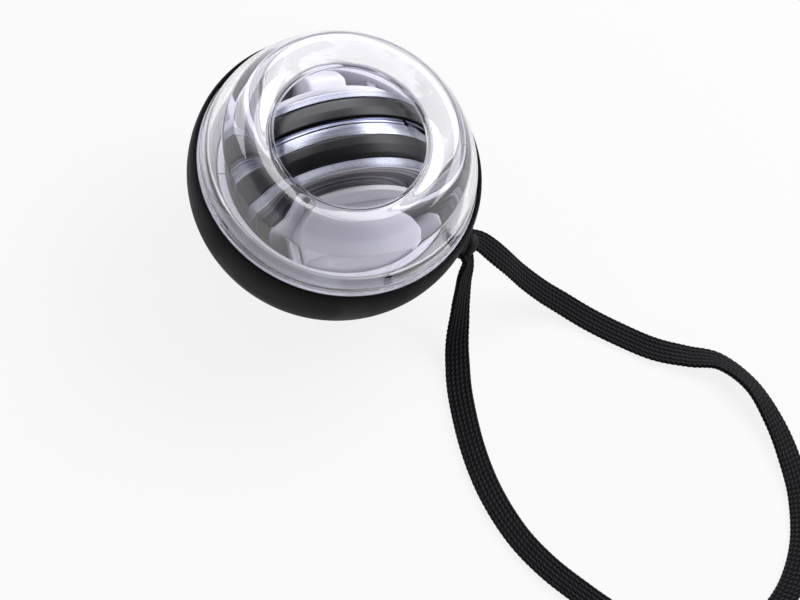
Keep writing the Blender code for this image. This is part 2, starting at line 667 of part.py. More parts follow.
def build_starter(turn_axis, axle_axis, winder_axis, finishes):
    """Make the pawl disc on the rotor, the ratchet wheel and arbor, and the mainspring in the pod."""
    disc_outline = mirrored([
        (PAWL_RIM_INNER, HUB_NEAR), (PAWL_DISC_RADIUS, HUB_NEAR),
        (PAWL_DISC_RADIUS, PAWL_DISC_FAR), (PAWL_RIM_INNER, PAWL_DISC_FAR),
    ], -1)
    disc = piece("pawl_disc", turned(disc_outline, ROTOR_STEPS, "Y"), finishes["frame"], axle_axis)
    inset = 0.2 * MM
    for number in range(PAWL_COUNT):
        outline = pawl_outline(math.tau * number / PAWL_COUNT)
        arm = prism(outline, -PAWL_DISC_FAR + inset, -HUB_NEAR - inset)
        combine(disc, guide(f"pawl_{number + 1}", arm, axle_axis), "UNION")

    wheel = prism(ratchet_outline(), -RATCHET_FAR, -RATCHET_NEAR)
    ratchet = piece("ratchet_wheel", wheel, finishes["steel"], winder_axis)
    bore = rod(HUB_RADIUS + GAP, -RATCHET_FAR - MM, -RATCHET_NEAR + MM, 24)
    combine(ratchet, guide("ratchet_bore", bore, winder_axis), "DIFFERENCE")

    arbor_outline = mirrored([
        (AXLE_RADIUS + GAP, HUB_NEAR), (HUB_RADIUS, HUB_NEAR),
        (HUB_RADIUS, HUB_FAR), (AXLE_RADIUS + GAP, HUB_FAR),
    ], -1)
    piece("winding_arbor", turned(arbor_outline, 24, "Y"), finishes["brass"], winder_axis)

    strip = prism(spring_outline(), -SPRING_NEAR - SPRING_WIDTH, -SPRING_NEAR)
    piece("mainspring", strip, finishes["steel"], turn_axis, sharp=50)


# Strap

def smooth_route(points, count):
    """Read evenly spread places, with their roll, from a smooth curve through a route's own points."""
    places = [Vector((x * MM, y * MM, z * MM, math.radians(roll))) for x, y, z, roll in points]
    ends = [places[0] * 2 - places[1]] + places + [places[-1] * 2 - places[-2]]
    fine = []
    parts = 12
    for before, start, end, after in zip(ends, ends[1:], ends[2:], ends[3:]):
        for step in range(parts):
            t = step / parts
            fine.append(0.5 * (
                2 * start + (end - before) * t + (2 * before - 5 * start + 4 * end - after) * t ** 2
                + (3 * start - before - 3 * end + after) * t ** 3
            ))
    fine.append(places[-1])
    lengths = [0.0]
    for start, end in zip(fine, fine[1:]):
        lengths.append(lengths[-1] + (end - start).to_3d().length)
    route = []
    at = 0
    for number in range(count):
        wanted = lengths[-1] * number / (count - 1)
        while at < len(fine) - 2 and lengths[at + 1] < wanted:
            at += 1
        share = (wanted - lengths[at]) / (lengths[at + 1] - lengths[at])
        route.append(fine[at].lerp(fine[at + 1], share))
    return route


def build_strap(centre, finishes):
    """Make the hitch round the anchor pin and the long loop of flat strap."""
    band_front = 33.2 * MM
    outer = arc((0, 0), 2.3 * MM, 90, 270, 6)
    outer = [(PIN_REACH + x, z) for x, z in outer] + [(band_front, -2.3 * MM), (band_front, 2.3 * MM)]
    inner = arc((0, 0), 1.15 * MM, 90, 270, 6)
    inner = [(PIN_REACH + x, z) for x, z in inner] + [(30.6 * MM, -1.15 * MM), (30.6 * MM, 1.15 * MM)]
    half = STRAP_WIDTH / 2
    loop = prism(outer, -half, half)
    bmesh.ops.translate(loop, verts=loop.verts, vec=(0, 0, ANCHOR_HEIGHT))
    hitch = piece("strap_hitch", loop, finishes["strap"], centre)
    slot = prism(inner, -half - MM, half + MM)
    bmesh.ops.translate(slot, verts=slot.verts, vec=(0, 0, ANCHOR_HEIGHT))
    combine(hitch, guide("hitch_slot", slot, centre), "DIFFERENCE")
    knot = bmesh.new()
    bmesh.ops.create_uvsphere(knot, u_segments=16, v_segments=10, radius=1.0)
    bmesh.ops.scale(knot, verts=knot.verts, vec=KNOT_HALF_SIZE)
    bmesh.ops.translate(knot, verts=knot.verts, vec=KNOT_PLACE)
    combine(hitch, guide("hitch_knot", knot, centre), "UNION")

    curve = bpy.data.curves.new("wrist_strap", "CURVE")
    curve.dimensions = "3D"
    curve.extrude = (STRAP_WIDTH - STRAP_THICKNESS) / 2
    curve.bevel_depth = STRAP_THICKNESS / 2
    curve.bevel_resolution = 1
    curve.use_fill_caps = True
    curve.twist_mode = "Z_UP"
    spline = curve.splines.new("POLY")
    route = smooth_route(STRAP_ROUTE, STRAP_POINTS)
    spline.points.add(len(route) - 1)
    for point, place in zip(spline.points, route):
        point.co = (*place.to_3d(), 1.0)
        point.tilt = math.radians(90) - place.w
    strap = bpy.data.objects.new("wrist_strap", curve)
    bpy.context.collection.objects.link(strap)
    curve.materials.append(finishes["strap"])


def main():
    """Build the whole ball."""
    clear_scene()
    finishes = {
        "cover": finish("soft_black", (0.035, 0.034, 0.038), 0.62),
        "bowl": finish("pale_shell", (0.62, 0.6, 0.64), 0.4),
        "clear": finish("clear_plastic", (0.95, 0.95, 1.0), 0.04, alpha=0.3),
        "steel": finish("steel", (0.62, 0.62, 0.63), 0.28, 1.0),
        "race": finish("race_grey", (0.33, 0.33, 0.36), 0.45, 0.6),
        "frame": finish("milky_plastic", (0.72, 0.71, 0.76), 0.5),
        "brass": finish("sintered_bronze", (0.5, 0.36, 0.2), 0.45, 0.8),
        "core": finish("dark_weight", (0.05, 0.05, 0.055), 0.5),
        "silver": finish("turned_metal", (0.75, 0.76, 0.8), 0.2, 1.0),
        "tyre": finish("black_rubber", (0.03, 0.03, 0.032), 0.55),
        "strap": finish("black_braid", (0.02, 0.02, 0.022), 0.85),
    }
    centre = axis_empty("ball_centre", None, (0, 0, MID))
    turn_axis = axis_empty("turn_axis", centre, turn=REST_TURN)
    axle_axis = axis_empty("axle_axis", turn_axis)
    winder_axis = axis_empty("winder_axis", turn_axis)
    build_shell(centre, finishes)
    build_frame(turn_axis, finishes)
    build_rotor(axle_axis, finishes)
    build_starter(turn_axis, axle_axis, winder_axis, finishes)
    build_strap(centre, finishes)


main()
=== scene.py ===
import math

import bmesh
import bpy
from mathutils import Matrix, Vector


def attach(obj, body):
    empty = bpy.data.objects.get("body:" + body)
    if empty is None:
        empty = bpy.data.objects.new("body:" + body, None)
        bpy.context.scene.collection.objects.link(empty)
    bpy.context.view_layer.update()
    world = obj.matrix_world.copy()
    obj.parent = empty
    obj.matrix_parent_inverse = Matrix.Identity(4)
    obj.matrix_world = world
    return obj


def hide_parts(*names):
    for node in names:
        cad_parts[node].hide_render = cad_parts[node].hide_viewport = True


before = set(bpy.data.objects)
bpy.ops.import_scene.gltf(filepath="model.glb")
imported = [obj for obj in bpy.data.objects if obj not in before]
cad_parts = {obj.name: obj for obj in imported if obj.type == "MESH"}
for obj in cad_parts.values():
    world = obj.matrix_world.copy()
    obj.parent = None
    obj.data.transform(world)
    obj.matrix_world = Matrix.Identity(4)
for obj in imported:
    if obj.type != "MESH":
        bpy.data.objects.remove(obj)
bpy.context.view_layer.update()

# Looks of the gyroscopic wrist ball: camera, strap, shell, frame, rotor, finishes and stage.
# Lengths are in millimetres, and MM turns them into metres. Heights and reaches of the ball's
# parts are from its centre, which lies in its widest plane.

MM = 0.001
GAP = 0.3
MID = 28.5                      # height of the widest plane above the floor
TURN = math.radians(32.9)       # how far the frame stands turned about the pole
FAR = 40.0                      # past every part, for cutters
ROUND_STEPS = 176               # steps round the large turned forms

COVER_RADIUS = 32.5
COVER_DROP = 30.6
COVER_WALL = 1.1
COVER_TOP = 5.0
FOOT_RADIUS = COVER_RADIUS * math.sqrt(1 - (MID / COVER_DROP) ** 2)
BOWL_WALL = 1.8
BOWL_HOLLOW = 27.9
RACE_INNER = 26.3
RACE_TRACK = 28.6
RACE_OUTER = 29.5
TRACK_HALF_HEIGHT = 1.6
RACE_HALF_HEIGHT = 2.6
DOME_RADIUS = 31.4
DOME_WALL = 2.4
SHOULDER = 36                   # degrees up the dome's side where its top begins to roll over
LIP_ROLL = 4.33                 # radius of the roll, whose crest stands round the top opening
LIP_INNER = 16.9                # the funnel inside the crest comes down to here
LIP_DROP = 1.8
LIP_TIP = 0.8
ANCHOR_HEIGHT = -6.6
PIN_REACH = 28.9
PIN_RADIUS = 0.8
PIN_HALF = 4.4

RING_INNER = 24.5
RING_OUTER = 26.0
RING_HALF_HEIGHT = 3.0
LAP = 2.0                       # half length of the half-lap joints
PLATE_NEAR = 11.4
PLATE_FAR = 12.6
PLATE_RADIUS = 17.3
ARM_INNER = 12.1
ARM_OUTER = 13.9
ARM_REACH = 21.6
ARM_HALF_HEIGHT = 1.5
POD_ROOT = PLATE_NEAR + 0.2
POD_ROOF = 11.4
POD_REACH = 24.2
POD_ROOF_REACH = 17.8
POD_EDGE = 0.9
POD_SPLIT = 21.0
SEAM = 0.06                     # gap between the pod's two halves
POD_BODY_HALF = 11.8            # half widths of the pods
POD_COVER_HALF = 12.3
REAR_POD_HALF = 4.2
REAR_BOSS_RADIUS = 3.9
REAR_BOSS_REACH = 25.0
SPRING_ROOM_RADIUS = 7.5
HUB_ROOM_RADIUS = 4.4

AXLE_RADIUS = 1.5
AXLE_REACH = 28.2
BUSH_RADIUS = 2.9
BORE = AXLE_RADIUS + GAP
CORE_RADIUS = 20.4
ROTOR_HALF = 7.05
BAND_HALF = 2.0
BAND_RADIUS = 22.5
RIDGE_RADIUS = 22.55
RIDGE_START = 0.8               # the band's ridge, by distance from the rotor's middle
RIDGE_END = 1.2
CAP_FOOT = 7.35
CAP_TOP = 9.2
RIM_INNER = 20.9                # the cap's bright rim, between its dish and its cone
RIM_OUTER = 21.2
DISH_INNER = 12.4
DISH_WIDTH = 8.5
DISH_FLOOR = 8.1
DISH_DEPTH = 1.1
CORD_HOLE_ANGLE = 34            # degrees from straight up, round the axle
CORD_HOLE_RADIUS = 0.8
GROOVE_FLOOR = 21.2             # radius down to which the starter cord's groove is cut
GROOVE_NEAR = 0.1
GROOVE_END = 1.15
TURNING_RINGS = 4000.0          # fineness of the turning marks

STRAP_WIDTH = 6.0
STRAP_THICKNESS = 1.4
STRAP_STEP = 0.2                # spacing of the strap's sections along it
STRAP_ROUND = 65                # points round the strap's section
GATHER_LENGTH = 12              # the strap is gathered over this length where it enters the bowl
GATHER_SHARE = 0.3
FLAT = STRAP_WIDTH - STRAP_THICKNESS
ROUND_LENGTH = 2 * FLAT + math.pi * STRAP_THICKNESS
BRAID_ROW = 1.2                 # length of one row of the braid
BRAID_COLUMNS = 13              # columns of stitches right round the strap
BRAID_SLOPE = 0.14              # rows by which each column stands behind the one before
STITCH_LEAN = math.radians(24)
STITCH_HALF_LENGTH = 0.66
STITCH_HALF_WIDTH = 0.3
STITCH_RELIEF = 0.15
STITCH_SINK = 0.13              # depth of the ground between the stitches
# The strap's route, above the floor, and the degrees by which its right-hand edge is raised
STRAP_ROUTE = [
    (31.0, -0.5, 21.6, 8), (32.8, -1.1, 21.3, 20), (34.2, -2.0, 20.2, 40), (34.9, -2.9, 18.6, 54),
    (35.7, -5.2, 15.4, 47), (37.0, -7.9, 11.0, 36), (38.5, -10.7, 6.9, 26), (40.0, -13.9, 3.6, 16),
    (41.9, -18.0, 1.7, 6), (45.3, -25.3, 0.9, 0), (51.6, -35.6, 0.8, 0), (58.7, -44.1, 0.8, 0),
    (67.1, -51.0, 0.8, 0), (75.4, -55.3, 0.8, 0), (84.4, -58.2, 0.8, 0), (95.0, -60.6, 0.8, 0),
    (106.0, -61.0, 0.8, 0), (116.6, -58.2, 0.8, 0), (125.0, -51.0, 0.8, 0), (129.8, -40.6, 0.8, 0),
    (130.4, -28.6, 0.8, 0), (127.2, -17.2, 0.8, 0), (122.0, -8.6, 1.2, -8), (115.8, -1.3, 1.8, -20),
    (108.2, 4.8, 2.3, -32), (99.5, 7.5, 2.1, -28), (92.0, 6.0, 1.4, -13), (84.0, 4.7, 0.9, -2),
    (75.2, 4.8, 0.8, 0), (67.2, 5.4, 0.9, 0), (60.0, 5.9, 2.2, 0), (54.4, 5.4, 4.9, 0),
    (48.3, 4.5, 9.6, 0), (42.7, 3.4, 15.4, 0), (36.6, 2.6, 20.3, 0), (33.6, 1.5, 22.2, 0),
    (31.0, 0.8, 22.9, 0),
]


# Outlines

def polar(centre, radius, degrees):
    """The point at a distance from a centre, at an angle from +r towards +z."""
    angle = math.radians(degrees)
    return (centre[0] + radius * math.cos(angle), centre[1] + radius * math.sin(angle))


def arc(centre, radius, start, end, count):
    """Points on an arc between two angles in degrees."""
    return [polar(centre, radius, start + (end - start) * step / count) for step in range(count + 1)]


def curve_between(before, start, end, after, share):
    """A place between the middle two of four numbers or points, on a smooth curve through them."""
    return 0.5 * (
        2 * start + (end - before) * share + (2 * before - 5 * start + 4 * end - after) * share ** 2
        + (3 * start - before - 3 * end + after) * share ** 3
    )


def smooth_line(points, parts):
    """A smooth curve through points."""
    ends = [points[0]] + points + [points[-1]]
    line = [points[0]]
    for four in zip(ends, ends[1:], ends[2:], ends[3:]):
        for step in range(1, parts + 1):
            line.append(tuple(curve_between(*numbers, step / parts) for numbers in zip(*four)))
    return line


def dip(crest, radius, drop, count):
    """Points after a crest, on a curve that drops faster and faster towards another radius."""
    points = []
    for step in range(1, count + 1):
        share = step / count
        points.append((crest[0] + (radius - crest[0]) * share, crest[1] - drop * share ** 2))
    return points


def oval(radius, drop, start, end, count):
    """Points down an ellipse's side, between two heights as angles in degrees."""
    points = []
    for step in range(count + 1):
        angle = math.radians(start + (end - start) * step / count)
        points.append((radius * math.cos(angle), -drop * math.sin(angle)))
    return points


def mirrored(outline, side):
    """The outline before (-1) or behind (+1) the middle."""
    return [(radius, side * distance) for radius, distance in outline]


def both_ends(half):
    """A rod's whole outline from its half behind the middle."""
    return list(reversed(mirrored(half, -1))) + half


def eased(outline, size, ring=True, count=3):
    """The outline with a small round in place of each corner."""
    points = []
    total = len(outline)
    for i, corner in enumerate(outline):
        if not ring and i in (0, total - 1):
            points.append(corner)
            continue
        here = Vector(corner)
        before = Vector(outline[i - 1]) - here
        after = Vector(outline[(i + 1) % total]) - here
        start = here + before.normalized() * min(size, before.length * 0.45)
        end = here + after.normalized() * min(size, after.length * 0.45)
        for step in range(count + 1):
            t = step / count
            point = start * (1 - t) ** 2 + here * 2 * t * (1 - t) + end * t ** 2
            points.append(tuple(point))
    return points


# Shapes

def to_ball(bm, turn=0.0):
    """Set a shape, drawn in millimetres round the ball's centre, in its place in the ball."""
    place = Matrix.Translation((0, 0, MID * MM)) @ Matrix.Rotation(turn, 4, "Z") @ Matrix.Scale(MM, 4)
    bmesh.ops.transform(bm, matrix=place, verts=bm.verts)
    return bm


def spun(outline, steps, along="Z", ring=True):
    """Spin an outline of (radius, height) points right round Z or Y, in millimetres."""
    bm = bmesh.new()
    corners = [bm.verts.new((radius, 0, height)) for radius, height in outline]
    pairs = list(zip(corners, corners[1:]))
    if ring:
        pairs.append((corners[-1], corners[0]))
    edges = [bm.edges.new(pair) for pair in pairs]
    bmesh.ops.spin(
        bm, geom=corners + edges, cent=(0, 0, 0), axis=(0, 0, 1),
        angle=math.tau, steps=steps, use_merge=True,
    )
    bmesh.ops.remove_doubles(bm, verts=bm.verts, dist=1e-4)
    if along == "Y":
        bmesh.ops.rotate(bm, verts=bm.verts, matrix=Matrix.Rotation(-math.pi / 2, 3, "X"))
    bmesh.ops.recalc_face_normals(bm, faces=bm.faces)
    return bm


def rod(radius, start, end, steps=64, along="Y"):
    """A plain cylinder along Y or Z."""
    return spun([(0, start), (radius, start), (radius, end), (0, end)], steps, along, ring=False)


def block(low, high):
    """A box between two corners."""
    bm = bmesh.new()
    bmesh.ops.create_cube(bm, size=1.0)
    bmesh.ops.scale(bm, verts=bm.verts, vec=[b - a for a, b in zip(low, high)])
    bmesh.ops.translate(bm, verts=bm.verts, vec=[(a + b) / 2 for a, b in zip(low, high)])
    return bm


def prism(outline, start, end, along="Y"):
    """Push a flat closed outline out between two places along X, Y or Z."""
    place = {
        "X": lambda a, b, h: (h, a, b), "Y": lambda a, b, h: (a, h, b), "Z": lambda a, b, h: (a, b, h),
    }[along]
    bm = bmesh.new()
    face = bm.faces.new([bm.verts.new(place(a, b, start)) for a, b in outline])
    grown = bmesh.ops.extrude_face_region(bm, geom=[face])
    moved = [item for item in grown["geom"] if isinstance(item, bmesh.types.BMVert)]
    bmesh.ops.translate(bm, verts=moved, vec=Vector(place(0, 0, end - start)))
    bmesh.ops.recalc_face_normals(bm, faces=bm.faces)
    return bm


def loft(loops):
    """Bridge closed loops of points into one closed body."""
    bm = bmesh.new()
    rings = []
    for loop in loops:
        corners = [bm.verts.new(point) for point in loop]
        rings.append([bm.edges.new(pair) for pair in zip(corners, corners[1:] + corners[:1])])
    for low, high in zip(rings, rings[1:]):
        bmesh.ops.bridge_loops(bm, edges=low + high)
    for ring in (rings[0], rings[-1]):
        bmesh.ops.edgeloop_fill(bm, edges=ring)
    bmesh.ops.recalc_face_normals(bm, faces=bm.faces)
    return bm


def mesh_object(name, bm):
    """An object of a bmesh, linked to the scene."""
    mesh = bpy.data.meshes.new(name)
    bm.to_mesh(mesh)
    bm.free()
    made = bpy.data.objects.new(name, mesh)
    bpy.context.collection.objects.link(made)
    return made


def carved(name, bm, steps):
    """Cut, join or keep with a list of (operation, shape), and return the finished bmesh."""
    base = mesh_object(name + "_base", bm)
    tools = []
    for operation, shape in steps:
        tool = mesh_object(name + "_tool", shape)
        tools.append(tool)
        boolean = base.modifiers.new("carve", "BOOLEAN")
        boolean.operation = operation
        boolean.solver = "EXACT"
        boolean.object = tool
    bpy.context.view_layer.update()
    shown = base.evaluated_get(bpy.context.evaluated_depsgraph_get())
    result = bmesh.new()
    result.from_mesh(shown.to_mesh())
    shown.to_mesh_clear()
    for thing in [base] + tools:
        bpy.data.objects.remove(thing, do_unlink=True)
    bmesh.ops.remove_doubles(result, verts=result.verts, dist=2e-3)
    bmesh.ops.dissolve_degenerate(result, edges=result.edges, dist=2e-3)
    return result


def cuts(*shapes):
    """Steps that cut shapes away."""
    return [("DIFFERENCE", shape) for shape in shapes]


def piece(name, bm, body, finish, stands_for, sharp=32, turn=0.0):
    """Make a finished piece that rides on a body and stands for a CAD node."""
    made = mesh_object(name, to_ball(bm, turn))
    made.data.shade_smooth()
    made.data.set_sharp_from_angle(angle=math.radians(sharp))
    made.data.materials.append(finish)
    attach(made, body)
    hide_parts(stands_for)
    return made


# Node tools

def node(tree, kind, inputs=None, **settings):
    """Add a node with its settings, and fill or link its inputs."""
    made = tree.nodes.new(kind)
    for name, value in settings.items():
        setattr(made, name, value)
    for name, value in (inputs or {}).items():
        if isinstance(value, bpy.types.NodeSocket):
            tree.links.new(value, made.inputs[name])
        else:
            made.inputs[name].default_value = value
    return made


def maths(tree, operation, first, second=0.0, third=0.0):
    """A Math node's result."""
    return node(tree, "ShaderNodeMath", {0: first, 1: second, 2: third}, operation=operation).outputs[0]


def ramp(tree, value, low, high, low_value=0.0, high_value=1.0):
    """A value mapped softly from one range to another and held at its ends."""
    made = node(tree, "ShaderNodeMapRange", {
        "Value": value, "From Min": low, "From Max": high, "To Min": low_value, "To Max": high_value,
    }, interpolation_type="SMOOTHSTEP")
    return made.outputs["Result"]


def blend_colour(tree, share, first, second):
    """A mix of two colours."""
    made = tree.nodes.new("ShaderNodeMix")
    made.data_type = "RGBA"
    for name, value in (("Factor_Float", share), ("A_Color", first), ("B_Color", second)):
        socket = next(s for s in made.inputs if s.identifier == name)
        if isinstance(value, bpy.types.NodeSocket):
            tree.links.new(value, socket)
        else:
            socket.default_value = (*value, 1.0) if name != "Factor_Float" else value
    return next(s for s in made.outputs if s.identifier == "Result_Color")


def new_group(name, inputs, outputs):
    """A shader node group with named value sockets, and its end nodes."""
    group = bpy.data.node_groups.new(name, "ShaderNodeTree")
    for label, kind, value in inputs:
        socket = group.interface.new_socket(label, in_out="INPUT", socket_type=kind)
        if value is not None:
            socket.default_value = value
    for label in outputs:
        group.interface.new_socket(label, in_out="OUTPUT", socket_type="NodeSocketFloat")
    return group, group.nodes.new("NodeGroupInput"), group.nodes.new("NodeGroupOutput")


def grain_group():
    """Fine moulded grain, and broad handling marks."""
    group, start, end = new_group("moulded_grain", [
        ("Vector", "NodeSocketVector", None), ("Grain Scale", "NodeSocketFloat", 3000.0),
    ], ["Grain", "Marks"])
    grain = node(group, "ShaderNodeTexNoise", {
        "Vector": start.outputs["Vector"], "Scale": start.outputs["Grain Scale"], "Detail": 3.0,
    })
    marks = node(group, "ShaderNodeTexNoise", {
        "Vector": start.outputs["Vector"], "Scale": 60.0, "Detail": 5.0, "Distortion": 0.8,
    })
    group.links.new(grain.outputs["Fac"], end.inputs["Grain"])
    group.links.new(ramp(group, marks.outputs["Fac"], 0.35, 0.7), end.inputs["Marks"])
    return group


def lathe_group():
    """Turning marks round the axle: fine rings, uneven round the turn, and metal speckle."""
    group, start, end = new_group("lathe_marks", [
        ("Vector", "NodeSocketVector", None), ("Rings", "NodeSocketFloat", TURNING_RINGS),
    ], ["Rings", "Bands", "Speckle", "Radius", "Side"])
    apart = node(group, "ShaderNodeSeparateXYZ", {"Vector": start.outputs["Vector"]})
    across = maths(group, "MULTIPLY", apart.outputs["X"], apart.outputs["X"])
    up = maths(group, "MULTIPLY", apart.outputs["Z"], apart.outputs["Z"])
    radius = maths(group, "SQRT", maths(group, "ADD", across, up))
    side = apart.outputs["Y"]
    turn = maths(group, "ARCTAN2", apart.outputs["Z"], apart.outputs["X"])
    reach = node(group, "ShaderNodeCombineXYZ", {
        "X": maths(group, "MULTIPLY", radius, start.outputs["Rings"]),
        "Y": maths(group, "MULTIPLY", side, start.outputs["Rings"]),
        "Z": maths(group, "MULTIPLY", turn, 1.4),
    })
    rings = node(group, "ShaderNodeTexNoise", {"Vector": reach.outputs[0], "Scale": 1.0, "Detail": 2.0})
    bands = node(group, "ShaderNodeTexNoise", {"Vector": reach.outputs[0], "Scale": 0.12, "Detail": 3.0})
    speckle = node(group, "ShaderNodeTexNoise", {
        "Vector": start.outputs["Vector"], "Scale": 5200.0, "Detail": 1.0,
    })
    group.links.new(rings.outputs["Fac"], end.inputs["Rings"])
    group.links.new(bands.outputs["Fac"], end.inputs["Bands"])
    group.links.new(ramp(group, speckle.outputs["Fac"], 0.5, 0.68), end.inputs["Speckle"])
    group.links.new(radius, end.inputs["Radius"])
    group.links.new(side, end.inputs["Side"])
    return group


def start_finish(name, roughness, metallic=0.0):
    """A material, its tree and its shader."""
    made = bpy.data.materials.new(name)
    made.use_nodes = True
    shader = made.node_tree.nodes["Principled BSDF"]
    shader.inputs["Roughness"].default_value = roughness
    shader.inputs["Metallic"].default_value = metallic
    return made, made.node_tree, shader


def own_place(tree):
    """Coordinates in the object's own space."""
    return tree.nodes.new("ShaderNodeTexCoord").outputs["Object"]


def moulded(tree, groups, grain_scale):
    """The grain and the marks of a moulded surface."""
    return node(tree, "ShaderNodeGroup", {
        "Vector": own_place(tree), "Grain Scale": grain_scale,
    }, node_tree=groups["grain"]).outputs


def turned(tree, groups, rings):
    """Turning marks, in coordinates whose Y runs along the axle from the ball's centre."""
    place = node(tree, "ShaderNodeMapping", {
        "Vector": own_place(tree), "Location": (0, 0, -MID * MM), "Rotation": (0, 0, -TURN),
    })
    return node(tree, "ShaderNodeGroup", {
        "Vector": place.outputs["Vector"], "Rings": rings,
    }, node_tree=groups["lathe"]).outputs


def bump(tree, shader, height, distance):
    """Drive the shader's normal by a height."""
    made = node(tree, "ShaderNodeBump", {"Height": height, "Distance": distance, "Strength": 1.0})
    tree.links.new(made.outputs["Normal"], shader.inputs["Normal"])


def flecked(tree, tone, lathe, share, dark=(0.12, 0.13, 0.2)):
    """A metal's tone with dark flecks."""
    return blend_colour(tree, maths(tree, "MULTIPLY", lathe["Speckle"], share), tone, dark)


def stripe(tree, side, start, full, fade, end):
    """1 on a stripe round the axle, soft from start to full and from fade to end."""
    rise = ramp(tree, side, start * MM, full * MM)
    return maths(tree, "MULTIPLY", rise, ramp(tree, side, end * MM, fade * MM))


def show_mix(tree, share, first, second):
    """Show a mix of two shaders as the material's surface."""
    mixed = node(tree, "ShaderNodeMixShader", {0: share, 1: first.outputs[0], 2: second.outputs[0]})
    tree.links.new(mixed.outputs[0], tree.nodes["Material Output"].inputs["Surface"])


def grained(name, dark, light, roughness, rough_change, groups,
            grain_scale=3000.0, relief=0.02, sockets=None):
    """A moulded finish with fine grain, faint marks and two close tones."""
    made, tree, shader = start_finish(name, roughness)
    grain = moulded(tree, groups, grain_scale)
    tree.links.new(blend_colour(tree, grain["Marks"], dark, light), shader.inputs["Base Color"])
    rough = ramp(tree, grain["Marks"], 0.0, 1.0, roughness - rough_change, roughness + rough_change)
    tree.links.new(rough, shader.inputs["Roughness"])
    bump(tree, shader, grain["Grain"], relief * MM)
    for label, value in (sockets or {}).items():
        shader.inputs[label].default_value = value
    return made


def turned_metal(name, dark, light, roughness, groups, flecks=0.0):
    """Turned metal with rings round the axle."""
    made, tree, shader = start_finish(name, roughness, 1.0)
    lathe = turned(tree, groups, TURNING_RINGS)
    tone = blend_colour(tree, ramp(tree, lathe["Bands"], 0.3, 0.7), dark, light)
    if flecks:
        tone = flecked(tree, tone, lathe, flecks)
    tree.links.new(tone, shader.inputs["Base Color"])
    rough = ramp(tree, lathe["Rings"], 0.2, 0.8, roughness * 0.6, roughness * 1.5)
    tree.links.new(rough, shader.inputs["Roughness"])
    bump(tree, shader, lathe["Rings"], 0.01 * MM)
    return made


def spread_outwards(tree, shader, share):
    """Spread gloss across the fine rings that turning leaves, outwards from the axle."""
    facing = tree.nodes.new("ShaderNodeTexCoord").outputs["Normal"]
    axle = (-math.sin(TURN), math.cos(TURN), 0.0)
    round_way = node(tree, "ShaderNodeVectorMath", {0: axle, 1: facing}, operation="CROSS_PRODUCT")
    outwards = node(tree, "ShaderNodeVectorMath", {0: round_way.outputs["Vector"], 1: facing},
                    operation="CROSS_PRODUCT")
    way = node(tree, "ShaderNodeVectorTransform", {"Vector": outwards.outputs["Vector"]},
               vector_type="VECTOR", convert_from="OBJECT", convert_to="WORLD")
    tree.links.new(way.outputs["Vector"], shader.inputs["Tangent"])
    shader.inputs["Anisotropic"].default_value = share


def cap_finish(groups):
    """A turned cap: a matt flecked cone, a bright narrow rim and a polished dish with faint waves, whose
    strong dark and bright bands round the turn are painted reflection over the metal's uneven tone.
    """
    made, tree, shader = start_finish("turned_metal", 0.2, 1.0)
    lathe = turned(tree, groups, 9000.0)
    bands = ramp(tree, lathe["Bands"], 0.35, 0.62)
    cone = ramp(tree, lathe["Radius"], RIM_OUTER * MM, (RIM_OUTER + 0.15) * MM)
    rim = ramp(tree, lathe["Radius"], (RIM_INNER - 0.1) * MM, (RIM_INNER + 0.05) * MM)
    matt = blend_colour(tree, bands, (0.34, 0.35, 0.44), (0.52, 0.53, 0.62))
    matt = flecked(tree, matt, lathe, 0.6, (0.1, 0.11, 0.18))
    # Painted reflection: the dish's tone swings from dark brownish grey to near white round the turn,
    # standing for the dark and bright streaks it reflects, over the metal's own uneven tone.
    polished_with_painted_reflection = blend_colour(tree, bands, (0.35, 0.33, 0.34), (0.98, 0.97, 0.98))
    polished_with_painted_reflection = blend_colour(tree, rim, polished_with_painted_reflection, (0.93, 0.93, 0.96))
    tree.links.new(blend_colour(tree, cone, polished_with_painted_reflection, matt), shader.inputs["Base Color"])
    rough = maths(tree, "MULTIPLY_ADD", lathe["Rings"], 0.12, 0.32)
    tree.links.new(maths(tree, "MULTIPLY_ADD", cone, 0.12, rough), shader.inputs["Roughness"])
    spread_outwards(tree, shader, 0.95)
    waves = maths(tree, "MULTIPLY", lathe["Bands"], ramp(tree, rim, 0.0, 1.0, 1.5, 0.0))
    bump(tree, shader, maths(tree, "ADD", lathe["Rings"], waves), 0.014 * MM)
    return made


def band_finish(groups):
    """The grooved band: a plain silver half, with painted shade darkening its small groove and the wide
    groove beside its ridge.
    """
    made, tree, shader = start_finish("grooved_metal", 0.24, 1.0)
    lathe = turned(tree, groups, TURNING_RINGS)
    bands = ramp(tree, lathe["Bands"], 0.3, 0.7)
    silver = blend_colour(tree, bands, (0.22, 0.23, 0.28), (0.36, 0.37, 0.42))
    # Painted shade: the small groove and the wide groove beside the ridge are darkened in colour.
    line = stripe(tree, lathe["Side"], 0.54, 0.6, 0.72, RIDGE_START)
    groove = stripe(tree, lathe["Side"], RIDGE_END, 1.34, 1.86, BAND_HALF)
    dark = maths(tree, "MINIMUM", maths(tree, "ADD", groove, line), 1.0)
    tone = blend_colour(tree, maths(tree, "MULTIPLY", dark, 0.85), silver, (0.07, 0.08, 0.15))
    tree.links.new(flecked(tree, tone, lathe, 0.5), shader.inputs["Base Color"])
    tree.links.new(ramp(tree, lathe["Rings"], 0.2, 0.8, 0.16, 0.34), shader.inputs["Roughness"])
    bump(tree, shader, lathe["Rings"], 0.01 * MM)
    return made


